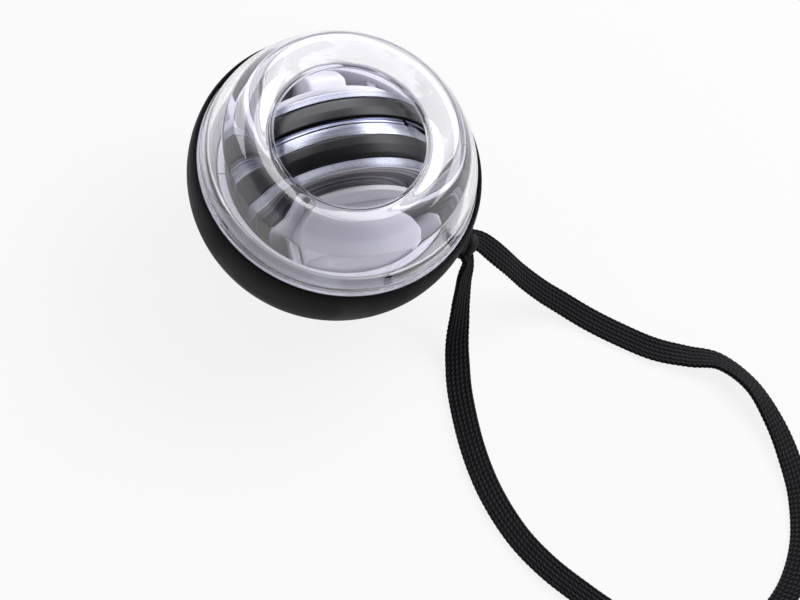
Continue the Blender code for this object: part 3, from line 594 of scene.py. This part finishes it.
def clear_finish(groups):
    """Clear hard plastic with faint handling marks, which lets lamp light through."""
    made, tree, shader = start_finish("clear_plastic", 0.02)
    for label, value in (
        ("IOR", 1.5), ("Transmission Weight", 1.0), ("Coat Weight", 0.6), ("Coat Roughness", 0.03),
    ):
        shader.inputs[label].default_value = value
    marks = moulded(tree, groups, 3000.0)["Marks"]
    tone = blend_colour(tree, marks, (0.985, 0.982, 1.0), (0.968, 0.964, 0.995))
    tree.links.new(tone, shader.inputs["Base Color"])
    tree.links.new(ramp(tree, marks, 0.0, 1.0, 0.0, 0.018), shader.inputs["Roughness"])
    passing = node(tree, "ShaderNodeBsdfTransparent", {"Color": (0.93, 0.93, 0.97, 1.0)})
    path = tree.nodes.new("ShaderNodeLightPath")
    show_mix(tree, path.outputs["Is Shadow Ray"], shader, passing)
    return made


def braid_finish(length):
    """Black flat braid: slanted stitches in rows, from the strap's own UV map, with painted shade
    darkening the ground between the stitches and more in its holes.
    """
    made, tree, shader = start_finish("black_braid", 0.6)
    shader.inputs["Specular IOR Level"].default_value = 0.1
    uv = tree.nodes.new("ShaderNodeUVMap")
    apart = node(tree, "ShaderNodeSeparateXYZ", {"Vector": uv.outputs[0]})
    along = maths(tree, "MULTIPLY", apart.outputs["X"], length / BRAID_ROW)
    across = maths(tree, "MULTIPLY", apart.outputs["Y"], BRAID_COLUMNS)
    column = maths(tree, "FLOOR", across)
    along = maths(tree, "MULTIPLY_ADD", column, -BRAID_SLOPE, along)
    u = maths(tree, "MULTIPLY_ADD", maths(tree, "FRACT", along), BRAID_ROW, -BRAID_ROW / 2)
    width = ROUND_LENGTH / BRAID_COLUMNS
    v = maths(tree, "MULTIPLY_ADD", maths(tree, "FRACT", across), width, -width / 2)
    cos, sin = math.cos(STITCH_LEAN), math.sin(STITCH_LEAN)
    long = maths(tree, "MULTIPLY_ADD", v, sin / STITCH_HALF_LENGTH,
                 maths(tree, "MULTIPLY", u, cos / STITCH_HALF_LENGTH))
    wide = maths(tree, "MULTIPLY_ADD", v, cos / STITCH_HALF_WIDTH,
                 maths(tree, "MULTIPLY", u, -sin / STITCH_HALF_WIDTH))
    outside = maths(tree, "MULTIPLY_ADD", long, long, maths(tree, "MULTIPLY", wide, wide))
    stitch = ramp(tree, outside, 1.1, 0.2)
    hole = ramp(tree, outside, 1.3, 2.6)
    fibres = node(tree, "ShaderNodeTexNoise", {
        "Vector": node(tree, "ShaderNodeMapping", {
            "Vector": uv.outputs[0], "Scale": (length * 2.2, 190.0, 1.0),
        }).outputs[0],
        "Scale": 1.0, "Detail": 2.0,
    })
    tone = blend_colour(tree, fibres.outputs["Fac"], (0.011, 0.0115, 0.014), (0.036, 0.037, 0.044))
    # Painted shade: the ground between the stitches is darker than the stitches, and darker still in the
    # holes.
    ground_shade = blend_colour(tree, hole, (0.002, 0.002, 0.0026), (0.0006, 0.0006, 0.0008))
    tree.links.new(blend_colour(tree, stitch, ground_shade, tone), shader.inputs["Base Color"])
    height = maths(tree, "MULTIPLY_ADD", fibres.outputs["Fac"], 0.25, stitch)
    bump(tree, shader, maths(tree, "MULTIPLY_ADD", hole, -0.6, height), 0.1 * MM)
    rough = ramp(tree, fibres.outputs["Fac"], 0.3, 0.7, 0.5, 0.75)
    tree.links.new(rough, shader.inputs["Roughness"])
    return made


# Camera

def place_camera():
    """Set the camera where the photograph was taken from."""
    data = bpy.data.cameras.new("camera")
    data.lens = 103.91
    data.sensor_width = 36.0
    data.clip_start = 0.01
    camera = bpy.data.objects.new("camera", data)
    bpy.context.collection.objects.link(camera)
    camera.matrix_world = Matrix((
        (0.923691, -0.380283, -0.046686, 0.0),
        (0.321334, 0.835279, -0.446153, -0.24465),
        (0.208661, 0.397106, 0.893738, 0.47351),
        (0.0, 0.0, 0.0, 1.0),
    ))
    bpy.context.scene.camera = camera


# Strap

def smooth_route(points, spacing):
    """Evenly spaced places, with their roll, on a smooth curve through points, and its length."""
    places = [Vector((x, y, z, math.radians(roll))) for x, y, z, roll in points]
    ends = [places[0] * 2 - places[1]] + places + [places[-1] * 2 - places[-2]]
    parts = 24
    fine = [curve_between(*four, step / parts) for four in zip(ends, ends[1:], ends[2:], ends[3:])
            for step in range(parts)]
    fine.append(places[-1])
    lengths = [0.0]
    for start, end in zip(fine, fine[1:]):
        lengths.append(lengths[-1] + (end - start).to_3d().length)
    count = round(lengths[-1] / spacing)
    route = []
    at = 0
    for number in range(count + 1):
        wanted = lengths[-1] * number / count
        while at < len(fine) - 2 and lengths[at + 1] < wanted:
            at += 1
        share = (wanted - lengths[at]) / (lengths[at + 1] - lengths[at])
        route.append(fine[at].lerp(fine[at + 1], share))
    return route, lengths[-1]


def strap_section(share):
    """A point and its outward direction on the strap's rounded section, by share of the way round."""
    at = (share * ROUND_LENGTH + FLAT / 2) % ROUND_LENGTH
    radius = STRAP_THICKNESS / 2
    bend = math.pi * radius
    if at < FLAT:
        return Vector((at - FLAT / 2, radius)), Vector((0, 1))
    if at < FLAT + bend:
        angle = math.pi / 2 - (at - FLAT) / radius
        out = Vector((math.cos(angle), math.sin(angle)))
        return Vector((FLAT / 2, 0)) + out * radius, out
    if at < 2 * FLAT + bend:
        return Vector((FLAT / 2 - (at - FLAT - bend), -radius)), Vector((0, -1))
    angle = -math.pi / 2 - (at - 2 * FLAT - bend) / radius
    out = Vector((math.cos(angle), math.sin(angle)))
    return Vector((-FLAT / 2, 0)) + out * radius, out


def stitch_height(along, around):
    """The braid's relief, by distance along and share of the way round: 1 on a stitch, 0 beside it."""
    across = around * BRAID_COLUMNS
    column = math.floor(across)
    u = ((along / BRAID_ROW - BRAID_SLOPE * column) % 1.0 - 0.5) * BRAID_ROW
    v = (across - column - 0.5) * ROUND_LENGTH / BRAID_COLUMNS
    long = (u * math.cos(STITCH_LEAN) + v * math.sin(STITCH_LEAN)) / STITCH_HALF_LENGTH
    wide = (v * math.cos(STITCH_LEAN) - u * math.sin(STITCH_LEAN)) / STITCH_HALF_WIDTH
    return math.sqrt(max(0.0, 1 - long * long - wide * wide))


def build_strap():
    """The long loop of flat braid."""
    route, length = smooth_route(STRAP_ROUTE, STRAP_STEP)
    sections = [strap_section(j / STRAP_ROUND) for j in range(STRAP_ROUND + 1)]
    last = len(route) - 1
    bm = bmesh.new()
    uv = bm.loops.layers.uv.new("UVMap")
    bmesh.ops.create_grid(bm, x_segments=last, y_segments=STRAP_ROUND, size=0.5)
    for face in bm.faces:
        for corner in face.loops:
            corner[uv].uv = (corner.vert.co.x + 0.5, corner.vert.co.y + 0.5)
    for vert in bm.verts:
        i = round((vert.co.x + 0.5) * last)
        j = round((vert.co.y + 0.5) * STRAP_ROUND)
        place = route[i].to_3d()
        ahead = route[min(i + 1, last)].to_3d() - route[max(i - 1, 0)].to_3d()
        level = ahead.cross(Vector((0, 0, 1))).normalized()
        upright = level.cross(ahead).normalized()
        side = level * math.cos(route[i].w) + upright * math.sin(route[i].w)
        up = upright * math.cos(route[i].w) - level * math.sin(route[i].w)
        along = length * i / last
        gather = 1 - min(along, length - along, GATHER_LENGTH) / GATHER_LENGTH
        point, out = sections[j]
        point = point + out * (STITCH_RELIEF * stitch_height(along, j / STRAP_ROUND) - STITCH_SINK)
        across = point.x * (1 - GATHER_SHARE * gather ** 2)
        vert.co = place + side * across + up * point.y * (1 + GATHER_SHARE * gather ** 2)
    bmesh.ops.remove_doubles(bm, verts=bm.verts, dist=1e-4)
    open_edges = [edge for edge in bm.edges if edge.is_boundary]
    bmesh.ops.holes_fill(bm, edges=open_edges, sides=0)
    bmesh.ops.recalc_face_normals(bm, faces=bm.faces)
    bmesh.ops.scale(bm, verts=bm.verts, vec=(MM, MM, MM))
    made = mesh_object("braided_strap", bm)
    made.data.shade_smooth()
    made.data.materials.append(braid_finish(length))
    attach(made, "ball")
    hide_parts("wrist_strap")
    places = route[::8] + [route[-1]]
    return made, [tuple(place.to_3d() * MM) for place in places], length * MM


def pin_loop(radius, reach, half_width, steps):
    """A flat-sided loop round the anchor's pin, out to a reach."""
    bend = [(PIN_REACH + x, z) for x, z in arc((0, 0), radius, 90, 270, steps)]
    loop = prism(bend + [(reach, -radius), (reach, radius)], -half_width, half_width)
    bmesh.ops.translate(loop, verts=loop.verts, vec=(0, 0, ANCHOR_HEIGHT))
    return loop


def build_hitch(finish):
    """The short end of strap round the anchor's pin, with its knot outside the cover."""
    knot = bmesh.new()
    bmesh.ops.create_uvsphere(knot, u_segments=48, v_segments=32, radius=1.0)
    bmesh.ops.scale(knot, verts=knot.verts, vec=(1.7, 2.7, 2.3))
    bmesh.ops.translate(knot, verts=knot.verts, vec=(33.8, 0.3, -6.7))
    steps = cuts(pin_loop(1.15, 30.6, 4.0, 10)) + [("UNION", knot)]
    bm = carved("hitch", pin_loop(2.2, 33.2, STRAP_WIDTH / 2, 14), steps)
    return piece("strap_knot", bm, "ball", finish, "strap_hitch")


# Shell

def cover_outline():
    """The soft cup, with its rounded top edge."""
    end = math.degrees(math.acos(FOOT_RADIUS / COVER_RADIUS))
    outside = oval(COVER_RADIUS, COVER_DROP, -6.5, end, 40)
    inner_radius = COVER_RADIUS - COVER_WALL
    inner_end = math.degrees(math.acos((FOOT_RADIUS - 0.4) / inner_radius))
    inside = oval(inner_radius, COVER_DROP - COVER_WALL, -4, inner_end, 30)
    top_edge = eased([inside[0], (inner_radius, COVER_TOP), (31.9, COVER_TOP + 0.08), outside[0]],
                     0.3, ring=False)
    inside = [(0, inside[-1][1])] + list(reversed(inside[1:]))
    return inside + top_edge + outside[1:] + [(0, outside[-1][1])]


def bowl_outline():
    """The hard bowl with the race's seat at its top."""
    outer_radius = COVER_RADIUS - COVER_WALL - GAP
    end = math.degrees(math.acos(FOOT_RADIUS / outer_radius))
    outside = oval(outer_radius, COVER_DROP - COVER_WALL - GAP, 0, end, 30)
    hollow = oval(BOWL_HOLLOW, -outside[-1][1] - BOWL_WALL, 7, 90, 30)
    seat = RACE_OUTER + GAP
    ledge = -RACE_HALF_HEIGHT - GAP
    top = COVER_TOP - 0.7
    race_seat = [(hollow[0][0], ledge), (seat, ledge), (seat, top), (outer_radius, top)]
    return list(reversed(hollow)) + race_seat + outside + [(0, outside[-1][1])]


def dome_outline():
    """The clear dome: skirt, grooved rim, round side, and the thick roll with its funnel."""
    side = arc((0, 0), DOME_RADIUS, 13, SHOULDER, 18)
    centre = polar((0, 0), DOME_RADIUS - LIP_ROLL, SHOULDER)
    roll = arc(centre, LIP_ROLL, SHOULDER, 90, 22)
    crest = roll[-1]
    funnel = dip(crest, LIP_INNER, LIP_DROP, 16)
    brink = 90 + math.degrees(math.atan(2 * LIP_DROP / (crest[0] - LIP_INNER)))
    tip = arc(polar(funnel[-1], -LIP_TIP, brink), LIP_TIP, brink, 283, 14)
    inside = arc((0, 0), DOME_RADIUS - DOME_WALL, 28, 17, 10)
    ceiling = smooth_line([tip[-1], (18.2, 17.6), (20.5, 16.2), (23.0, 15.0), inside[0]], 6)
    foot = RACE_HALF_HEIGHT + GAP
    rim_under = COVER_TOP - 0.4
    rim = COVER_RADIUS - COVER_WALL - 2 * GAP
    skirt_outer = RACE_OUTER - 0.1
    rim_points = eased([
        inside[-1], (inside[-1][0], foot), (skirt_outer, foot), (skirt_outer, rim_under),
        (rim, rim_under), (rim, COVER_TOP + 0.9), (rim - 0.35, COVER_TOP + 1.3),
        (rim - 0.75, COVER_TOP + 1.5), (rim - 0.6, COVER_TOP + 1.9), side[0],
    ], 0.18, ring=False, count=2)
    return rim_points[1:] + side[1:] + roll[1:] + funnel + tip[1:] + ceiling[1:] + inside[1:]


def race_outline(side):
    """One half of the race, below (-1) or above (+1) the axle."""
    return eased([
        (RACE_INNER, side * TRACK_HALF_HEIGHT), (RACE_TRACK, side * TRACK_HALF_HEIGHT),
        (RACE_TRACK, side * GAP / 2), (RACE_OUTER, side * GAP / 2),
        (RACE_OUTER, side * RACE_HALF_HEIGHT), (RACE_INNER, side * RACE_HALF_HEIGHT),
    ], 0.15)


def opening(start, half_width, half_height):
    """A cutter at the anchor's height, from a reach out past the cover."""
    return block((start, -half_width, ANCHOR_HEIGHT - half_height),
                 (COVER_RADIUS + 2, half_width, ANCHOR_HEIGHT + half_height))


def at_anchor(bm):
    """Move a shape to the anchor's pin."""
    bmesh.ops.translate(bm, verts=bm.verts, vec=(PIN_REACH, 0, ANCHOR_HEIGHT))
    return bm


def build_shell(finishes):
    """Cover, bowl, race, dome and the anchor's pin."""
    cover = spun(cover_outline(), ROUND_STEPS, ring=False)
    cover = carved("cover", cover, cuts(opening(27.0, 3.9, 3.0)))
    piece("soft_cover", cover, "ball", finishes["cover"], "grip_cover")
    boss = block((25.0, -4.8, ANCHOR_HEIGHT - 3.9), (28.2, 4.8, -3.5))
    pin_bore = at_anchor(rod(PIN_RADIUS + GAP, -4.7, 4.7, 24))
    bowl = carved("bowl", spun(bowl_outline(), 160, ring=False),
                  [("UNION", boss)] + cuts(opening(26.2, 3.6, 2.7), pin_bore))
    piece("hard_bowl", bowl, "ball", finishes["bowl"], "lower_bowl")
    pin = eased(both_ends([(PIN_RADIUS, PIN_HALF), (0, PIN_HALF)]), 0.15, ring=False)
    pin = at_anchor(spun(pin, 24, "Y", ring=False))
    piece("anchor_pin", pin, "ball", finishes["steel"], "strap_pin")
    for word, side in (("lower", -1), ("upper", 1)):
        piece("race_" + word, spun(race_outline(side), ROUND_STEPS), "ball", finishes["race"],
              word + "_race")
    piece("dome_shell", spun(dome_outline(), 200), "ball", finishes["clear"], "clear_dome",
          sharp=40)


# Turning frame

def pod_plan(side, near, half_width, height, inset):
    """Outline of a pod at one height: flat sides, rounded corners and a front bent round the pole."""
    half = half_width - inset
    lean = (POD_REACH - POD_ROOF_REACH) / POD_ROOF ** 2
    reach = POD_REACH - lean * height ** 2 - inset
    corner_x = half - POD_EDGE
    corner_y = math.sqrt((reach - POD_EDGE) ** 2 - corner_x ** 2)
    turn = math.atan2(corner_y, corner_x)
    corner = []
    for step in range(7):
        angle = turn * step / 6
        corner.append((corner_x + POD_EDGE * math.cos(angle), corner_y + POD_EDGE * math.sin(angle)))
    front = []
    for step in range(1, 24):
        angle = turn + (math.pi - 2 * turn) * step / 24
        front.append((reach * math.cos(angle), reach * math.sin(angle)))
    plan = [(half, near)] + corner + front + [(-x, y) for x, y in reversed(corner)] + [(-half, near)]
    return [(x, side * y, height) for x, y in plan]


def pod_form(side, near, half_width):
    """A pod between its flat near end and its bent front, with its edges rounded."""
    edge = []
    for angle in range(0, 91, 15):
        drop = POD_EDGE * (1 - math.sin(math.radians(angle)))
        inset = POD_EDGE * (1 - math.cos(math.radians(angle)))
        edge.append((POD_ROOF - drop, inset))
    levels = [(-height, inset) for height, inset in reversed(edge)]
    levels += [(step * 1.0, 0) for step in range(-9, 10)] + edge
    return loft([pod_plan(side, near, half_width, height, inset) for height, inset in levels])


def axle_bore():
    """A cutter for the axle's way through the frame."""
    return rod(BORE, -AXLE_REACH, AXLE_REACH, 48)


def half_ring(side):
    """Half of the frame's ring, stepped for the half-lap joints, with its plate and arms as steps."""
    ring = spun(eased([
        (RING_INNER, -RING_HALF_HEIGHT), (RING_OUTER, -RING_HALF_HEIGHT),
        (RING_OUTER, RING_HALF_HEIGHT), (RING_INNER, RING_HALF_HEIGHT),
    ], 0.25), 160)
    slack = GAP / 2
    front = [(-FAR, -FAR), (-LAP - slack, -FAR), (-LAP - slack, slack), (LAP - slack, slack),
             (LAP - slack, FAR), (-FAR, FAR)]
    region = prism([(-side * y, -side * z) for y, z in front], -FAR, FAR, "X")
    near, thick = sorted((side * PLATE_NEAR, side * PLATE_FAR))
    plate = [(0, near), (PLATE_RADIUS, near), (PLATE_RADIUS, thick), (0, thick)]
    plate = spun(eased(plate, 0.25, ring=False), 128, "Y", ring=False)
    steps = [("INTERSECT", region), ("UNION", plate)]
    for across in (-1, 1):
        low, high = sorted((across * ARM_INNER, across * ARM_OUTER))
        start, end = sorted((side * (PLATE_NEAR + 0.4), side * ARM_REACH))
        arm = block((low, start, -ARM_HALF_HEIGHT), (high, end, ARM_HALF_HEIGHT))
        bmesh.ops.bevel(arm, geom=arm.edges[:], offset=0.4, affect="EDGES", segments=3,
                        profile=0.5, material=-1)
        steps.append(("UNION", arm))
    return ring, steps


def build_frame(finishes):
    """The two halves of the milky frame, the pod's cover and the bushes."""
    def frame_piece(name, bm, node_name, finish="milky"):
        piece(name, bm, "turning_frame", finishes[finish], node_name, turn=TURN)

    body = carved("pod", pod_form(-1, POD_ROOT, POD_BODY_HALF),
                  cuts(block((-FAR, -FAR, -FAR), (FAR, -POD_SPLIT + SEAM / 2, FAR))))
    ring, steps = half_ring(-1)
    steps += [("UNION", body)] + cuts(
        rod(SPRING_ROOM_RADIUS, -22.0, -13.9, 96), rod(HUB_ROOM_RADIUS, -14.9, -10.4, 64), axle_bore())
    frame_piece("frame_front", carved("front", ring, steps), "frame_front_half")
    ring, steps = half_ring(1)
    steps += [
        ("UNION", pod_form(1, POD_ROOT, REAR_POD_HALF)),
        ("UNION", rod(REAR_BOSS_RADIUS, POD_ROOT, REAR_BOSS_REACH, 72)),
    ] + cuts(axle_bore(), rod(BUSH_RADIUS + GAP, 10.4, 16.0, 64))
    frame_piece("frame_rear", carved("rear", ring, steps), "frame_rear_half")
    cap = carved("cap", pod_form(-1, POD_ROOT, POD_COVER_HALF), cuts(
        block((-FAR, -POD_SPLIT - SEAM / 2, -FAR), (FAR, FAR, FAR)),
        rod(BUSH_RADIUS + GAP, -23.6, -20.0, 64), axle_bore()))
    frame_piece("pod_front", cap, "pod_cover")
    for word, start, end in (("rear", 11.7, 15.7), ("front", -23.3, -21.3)):
        outline = eased([(BORE, start), (BUSH_RADIUS, start), (BUSH_RADIUS, end), (BORE, end)], 0.15)
        frame_piece("bearing_" + word, spun(outline, 64, "Y"), "bush_" + word, "bronze")


# Rotor

def cord_groove():
    """Cutters of the starter cord's groove: a part of a ring, and the narrow start at the hole."""
    outline = [(GROOVE_FLOOR, GROOVE_NEAR), (25.0, GROOVE_NEAR), (25.0, GROOVE_END),
               (GROOVE_FLOOR, GROOVE_END)]
    sector = [(0, 0)] + [polar((0, 0), 60.0, 90 - degrees) for degrees in (CORD_HOLE_ANGLE + 12, 92, 150)]
    ring = carved("groove", spun(outline, 120, "Y"), [("INTERSECT", prism(sector, -5.0, 5.0))])
    wedge = [(-0.5, GROOVE_END), (4.6, GROOVE_NEAR), (4.6, GROOVE_END)]
    start = prism(wedge, GROOVE_FLOOR, 24.5, "Z")
    lean = Matrix.Rotation(math.radians(CORD_HOLE_ANGLE + 2), 3, "Y")
    bmesh.ops.rotate(start, verts=start.verts, matrix=lean)
    return [ring, start]


def build_rotor(finishes):
    """Axle, weight, tyres, grooved band, turned caps and spacer."""
    def rotor_piece(name, bm, finish, node_name):
        piece(name, bm, "rotor", finishes[finish], node_name, turn=TURN)

    half = [(AXLE_RADIUS, 25.4), (1.3, 25.6), (1.3, 27.9), (1.0, AXLE_REACH), (0, AXLE_REACH)]
    axle = eased(both_ends(half), 0.1, ring=False)
    rotor_piece("steel_axle", spun(axle, 48, "Y", ring=False), "steel", "axle")
    cord_hole = rod(CORD_HOLE_RADIUS, 16.0, 25.0, 32, "Z")
    hole_lean = Matrix.Rotation(math.radians(CORD_HOLE_ANGLE), 3, "Y")
    bmesh.ops.rotate(cord_hole, verts=cord_hole.verts, matrix=hole_lean)
    bmesh.ops.translate(cord_hole, verts=cord_hole.verts, vec=(0, RIDGE_END, 0))
    core = spun([
        (BORE, -ROTOR_HALF), (CORE_RADIUS, -ROTOR_HALF), (CORE_RADIUS, ROTOR_HALF), (BORE, ROTOR_HALF),
    ], 160, "Y")
    core = carved("core", core, cuts(cord_hole.copy()))
    rotor_piece("rotor_weight", core, "weight", "rotor_core")
    seat = CORE_RADIUS + GAP
    band = [
        (seat, -BAND_HALF), (BAND_RADIUS, -BAND_HALF), (BAND_RADIUS, 0.55), (22.35, 0.68),
        (RIDGE_RADIUS, RIDGE_START), (RIDGE_RADIUS, RIDGE_END), (22.15, 1.4), (22.1, 1.85),
        (22.3, BAND_HALF), (seat, BAND_HALF),
    ]
    band = carved("band", spun(eased(band, 0.05), ROUND_STEPS, "Y"), cuts(cord_hole, *cord_groove()))
    rotor_piece("silver_band", band, "band", "groove_band")
    tyre = [(seat, 2.3), (22.85, 2.3), (22.95, 2.45), (22.85, 4.4), (22.35, 6.3), (21.95, ROTOR_HALF),
            (seat, ROTOR_HALF)]
    dish = [(DISH_INNER + DISH_WIDTH * step / 16, DISH_FLOOR + DISH_DEPTH * (step / 16) ** 2.2)
            for step in range(15, -1, -1)]
    cap = [(BORE, CAP_FOOT), (21.9, CAP_FOOT), (21.4, 9.0), (RIM_OUTER, CAP_TOP), (RIM_INNER, CAP_TOP)]
    cap += dish + [(BORE, DISH_FLOOR)]
    for side, word in ((-1, "front"), (1, "rear")):
        tyre_form = spun(eased(mirrored(tyre, side), 0.2), ROUND_STEPS, "Y")
        rotor_piece("rubber_" + word, tyre_form, "tyre", "tyre_" + word)
        cap_form = spun(eased(mirrored(cap, side), 0.12), ROUND_STEPS, "Y")
        rotor_piece("turned_cap_" + word, cap_form, "silver", "cap_" + word)
    spacer = eased([(BORE, 8.4), (3.6, 8.4), (3.6, 11.1), (BORE, 11.1)], 0.15)
    rotor_piece("spacer", spun(spacer, 64, "Y"), "bronze", "spacer_rear")


def dress_starter(finishes):
    """Give the starter's CAD parts their finishes."""
    for name, finish in (
        ("pawl_disc", "milky"), ("ratchet_wheel", "steel"), ("winding_arbor", "bronze"),
        ("mainspring", "steel"),
    ):
        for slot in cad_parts[name].material_slots:
            slot.material = finishes[finish]


# Stage

LAMP_DISTANCE = 0.7             # metres from the ball's centre
LAMP_COLOUR = (0.97, 0.97, 1.0)
FLOOR_GLOW = 0.86               # how far the floor shows plain white, over its lit surface
FILL = 0.8                      # the world's share that lights matt surfaces


def lamp(name, azimuth, elevation, size, power):
    """A soft lamp that faces the ball, with its size across and up. Clear plastic refracts none of it."""
    data = bpy.data.lights.new(name, "AREA")
    data.shape = "RECTANGLE"
    data.size, data.size_y = size
    data.energy = power
    data.color = LAMP_COLOUR
    made = bpy.data.objects.new(name, data)
    bpy.context.collection.objects.link(made)
    flat = math.cos(math.radians(elevation))
    out = Vector((flat * math.cos(math.radians(azimuth)), flat * math.sin(math.radians(azimuth)),
                  math.sin(math.radians(elevation))))
    made.location = out * LAMP_DISTANCE + Vector((0, 0, MID * MM))
    made.rotation_euler = (-out).to_track_quat("-Z", "Y").to_euler()
    made.visible_transmission = False
    return made


def seen_rays(tree):
    """1 for rays that show a surface: straight, by reflection or through clear plastic."""
    path = tree.nodes.new("ShaderNodeLightPath")
    shown = maths(tree, "ADD", path.outputs["Is Camera Ray"], path.outputs["Is Glossy Ray"])
    shown = maths(tree, "ADD", shown, path.outputs["Is Transmission Ray"])
    return maths(tree, "MINIMUM", shown, 1.0)


def build_floor():
    """A white floor that keeps the object's shadow."""
    bm = bmesh.new()
    bmesh.ops.create_grid(bm, x_segments=1, y_segments=1, size=3.0)
    floor = mesh_object("floor", bm)
    made, tree, shader = start_finish("floor_white", 0.9)
    shader.inputs["Base Color"].default_value = (0.9, 0.9, 0.9, 1)
    glow = node(tree, "ShaderNodeEmission", {"Color": (1, 1, 1, 1), "Strength": 1.0})
    show_mix(tree, maths(tree, "MULTIPLY", seen_rays(tree), FLOOR_GLOW), shader, glow)
    floor.data.materials.append(made)


def build_world():
    """A pale room, dimmer overhead and towards the near side."""
    world = bpy.data.worlds.new("studio")
    bpy.context.scene.world = world
    world.use_nodes = True
    tree = world.node_tree
    tree.nodes.clear()
    ways = tree.nodes.new("ShaderNodeTexCoord")
    apart = node(tree, "ShaderNodeSeparateXYZ", {"Vector": ways.outputs["Generated"]})
    high = maths(tree, "MULTIPLY", apart.outputs["Z"], 0.86)
    dim = maths(tree, "MULTIPLY_ADD", apart.outputs["Y"], -0.5, high)
    room = ramp(tree, dim, 0.45, 0.8, 1.0, 0.1)
    fill = maths(tree, "MULTIPLY", room, FILL)
    level = maths(tree, "MULTIPLY_ADD", seen_rays(tree), maths(tree, "SUBTRACT", room, fill), fill)
    back = node(tree, "ShaderNodeBackground", {"Color": (0.97, 0.97, 1.0, 1), "Strength": level})
    out = tree.nodes.new("ShaderNodeOutputWorld")
    tree.links.new(back.outputs[0], out.inputs["Surface"])


def build_stage():
    """Floor, room and soft lamps."""
    build_floor()
    build_world()
    lamp("lamp_right", 58, 42, (0.56, 0.42), 3.4)
    sheen = lamp("lamp_left", 138, 31, (1.2, 0.66), 10.5)
    sheen.visible_diffuse = False


def moulded_finishes(groups):
    """The plain finishes of rubber and plastic, by name."""
    return {
        "cover": grained("soft_black", (0.004, 0.004, 0.005), (0.007, 0.007, 0.008), 0.55, 0.05, groups,
                         5200.0, 0.012, {"Specular IOR Level": 0.05}),
        "bowl": grained("pale_shell", (0.56, 0.54, 0.58), (0.66, 0.64, 0.68), 0.4, 0.08, groups,
                        1500.0, 0.008),
        "race": grained("race_grey", (0.2, 0.2, 0.23), (0.28, 0.28, 0.32), 0.38, 0.08, groups),
        "milky": grained("milky_plastic", (0.66, 0.65, 0.71), (0.74, 0.73, 0.78), 0.36, 0.06, groups,
                         1500.0, 0.008, {
                             "Subsurface Weight": 0.5, "Subsurface Scale": 0.002,
                             "Subsurface Radius": (1.0, 0.9, 0.95),
                         }),
        "tyre": grained("black_rubber", (0.010, 0.010, 0.012), (0.018, 0.018, 0.022), 0.34, 0.06, groups,
                        4200.0, 0.015, {"Specular IOR Level": 0.3}),
        "weight": grained("dark_weight", (0.02, 0.02, 0.022), (0.04, 0.04, 0.044), 0.5, 0.08, groups),
        "knot": grained("black_knot", (0.006, 0.006, 0.007), (0.016, 0.016, 0.018), 0.7, 0.08, groups,
                        1400.0, 0.2, {"Specular IOR Level": 0.2}),
    }


def main():
    """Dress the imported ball."""
    place_camera()
    groups = {"grain": grain_group(), "lathe": lathe_group()}
    strap, path, length = build_strap()
    finishes = {
        **moulded_finishes(groups),
        "clear": clear_finish(groups),
        "silver": cap_finish(groups),
        "band": band_finish(groups),
        "steel": turned_metal("steel", (0.5, 0.5, 0.51), (0.66, 0.66, 0.68), 0.26, groups),
        "bronze": turned_metal("sintered_bronze", (0.3, 0.21, 0.12), (0.42, 0.3, 0.18), 0.42, groups,
                               flecks=0.3),
    }
    hitch = build_hitch(finishes["knot"])
    build_shell(finishes)
    build_frame(finishes)
    build_rotor(finishes)
    dress_starter(finishes)
    build_stage()
    bpy.context.scene.view_settings.view_transform = "Standard"


main()
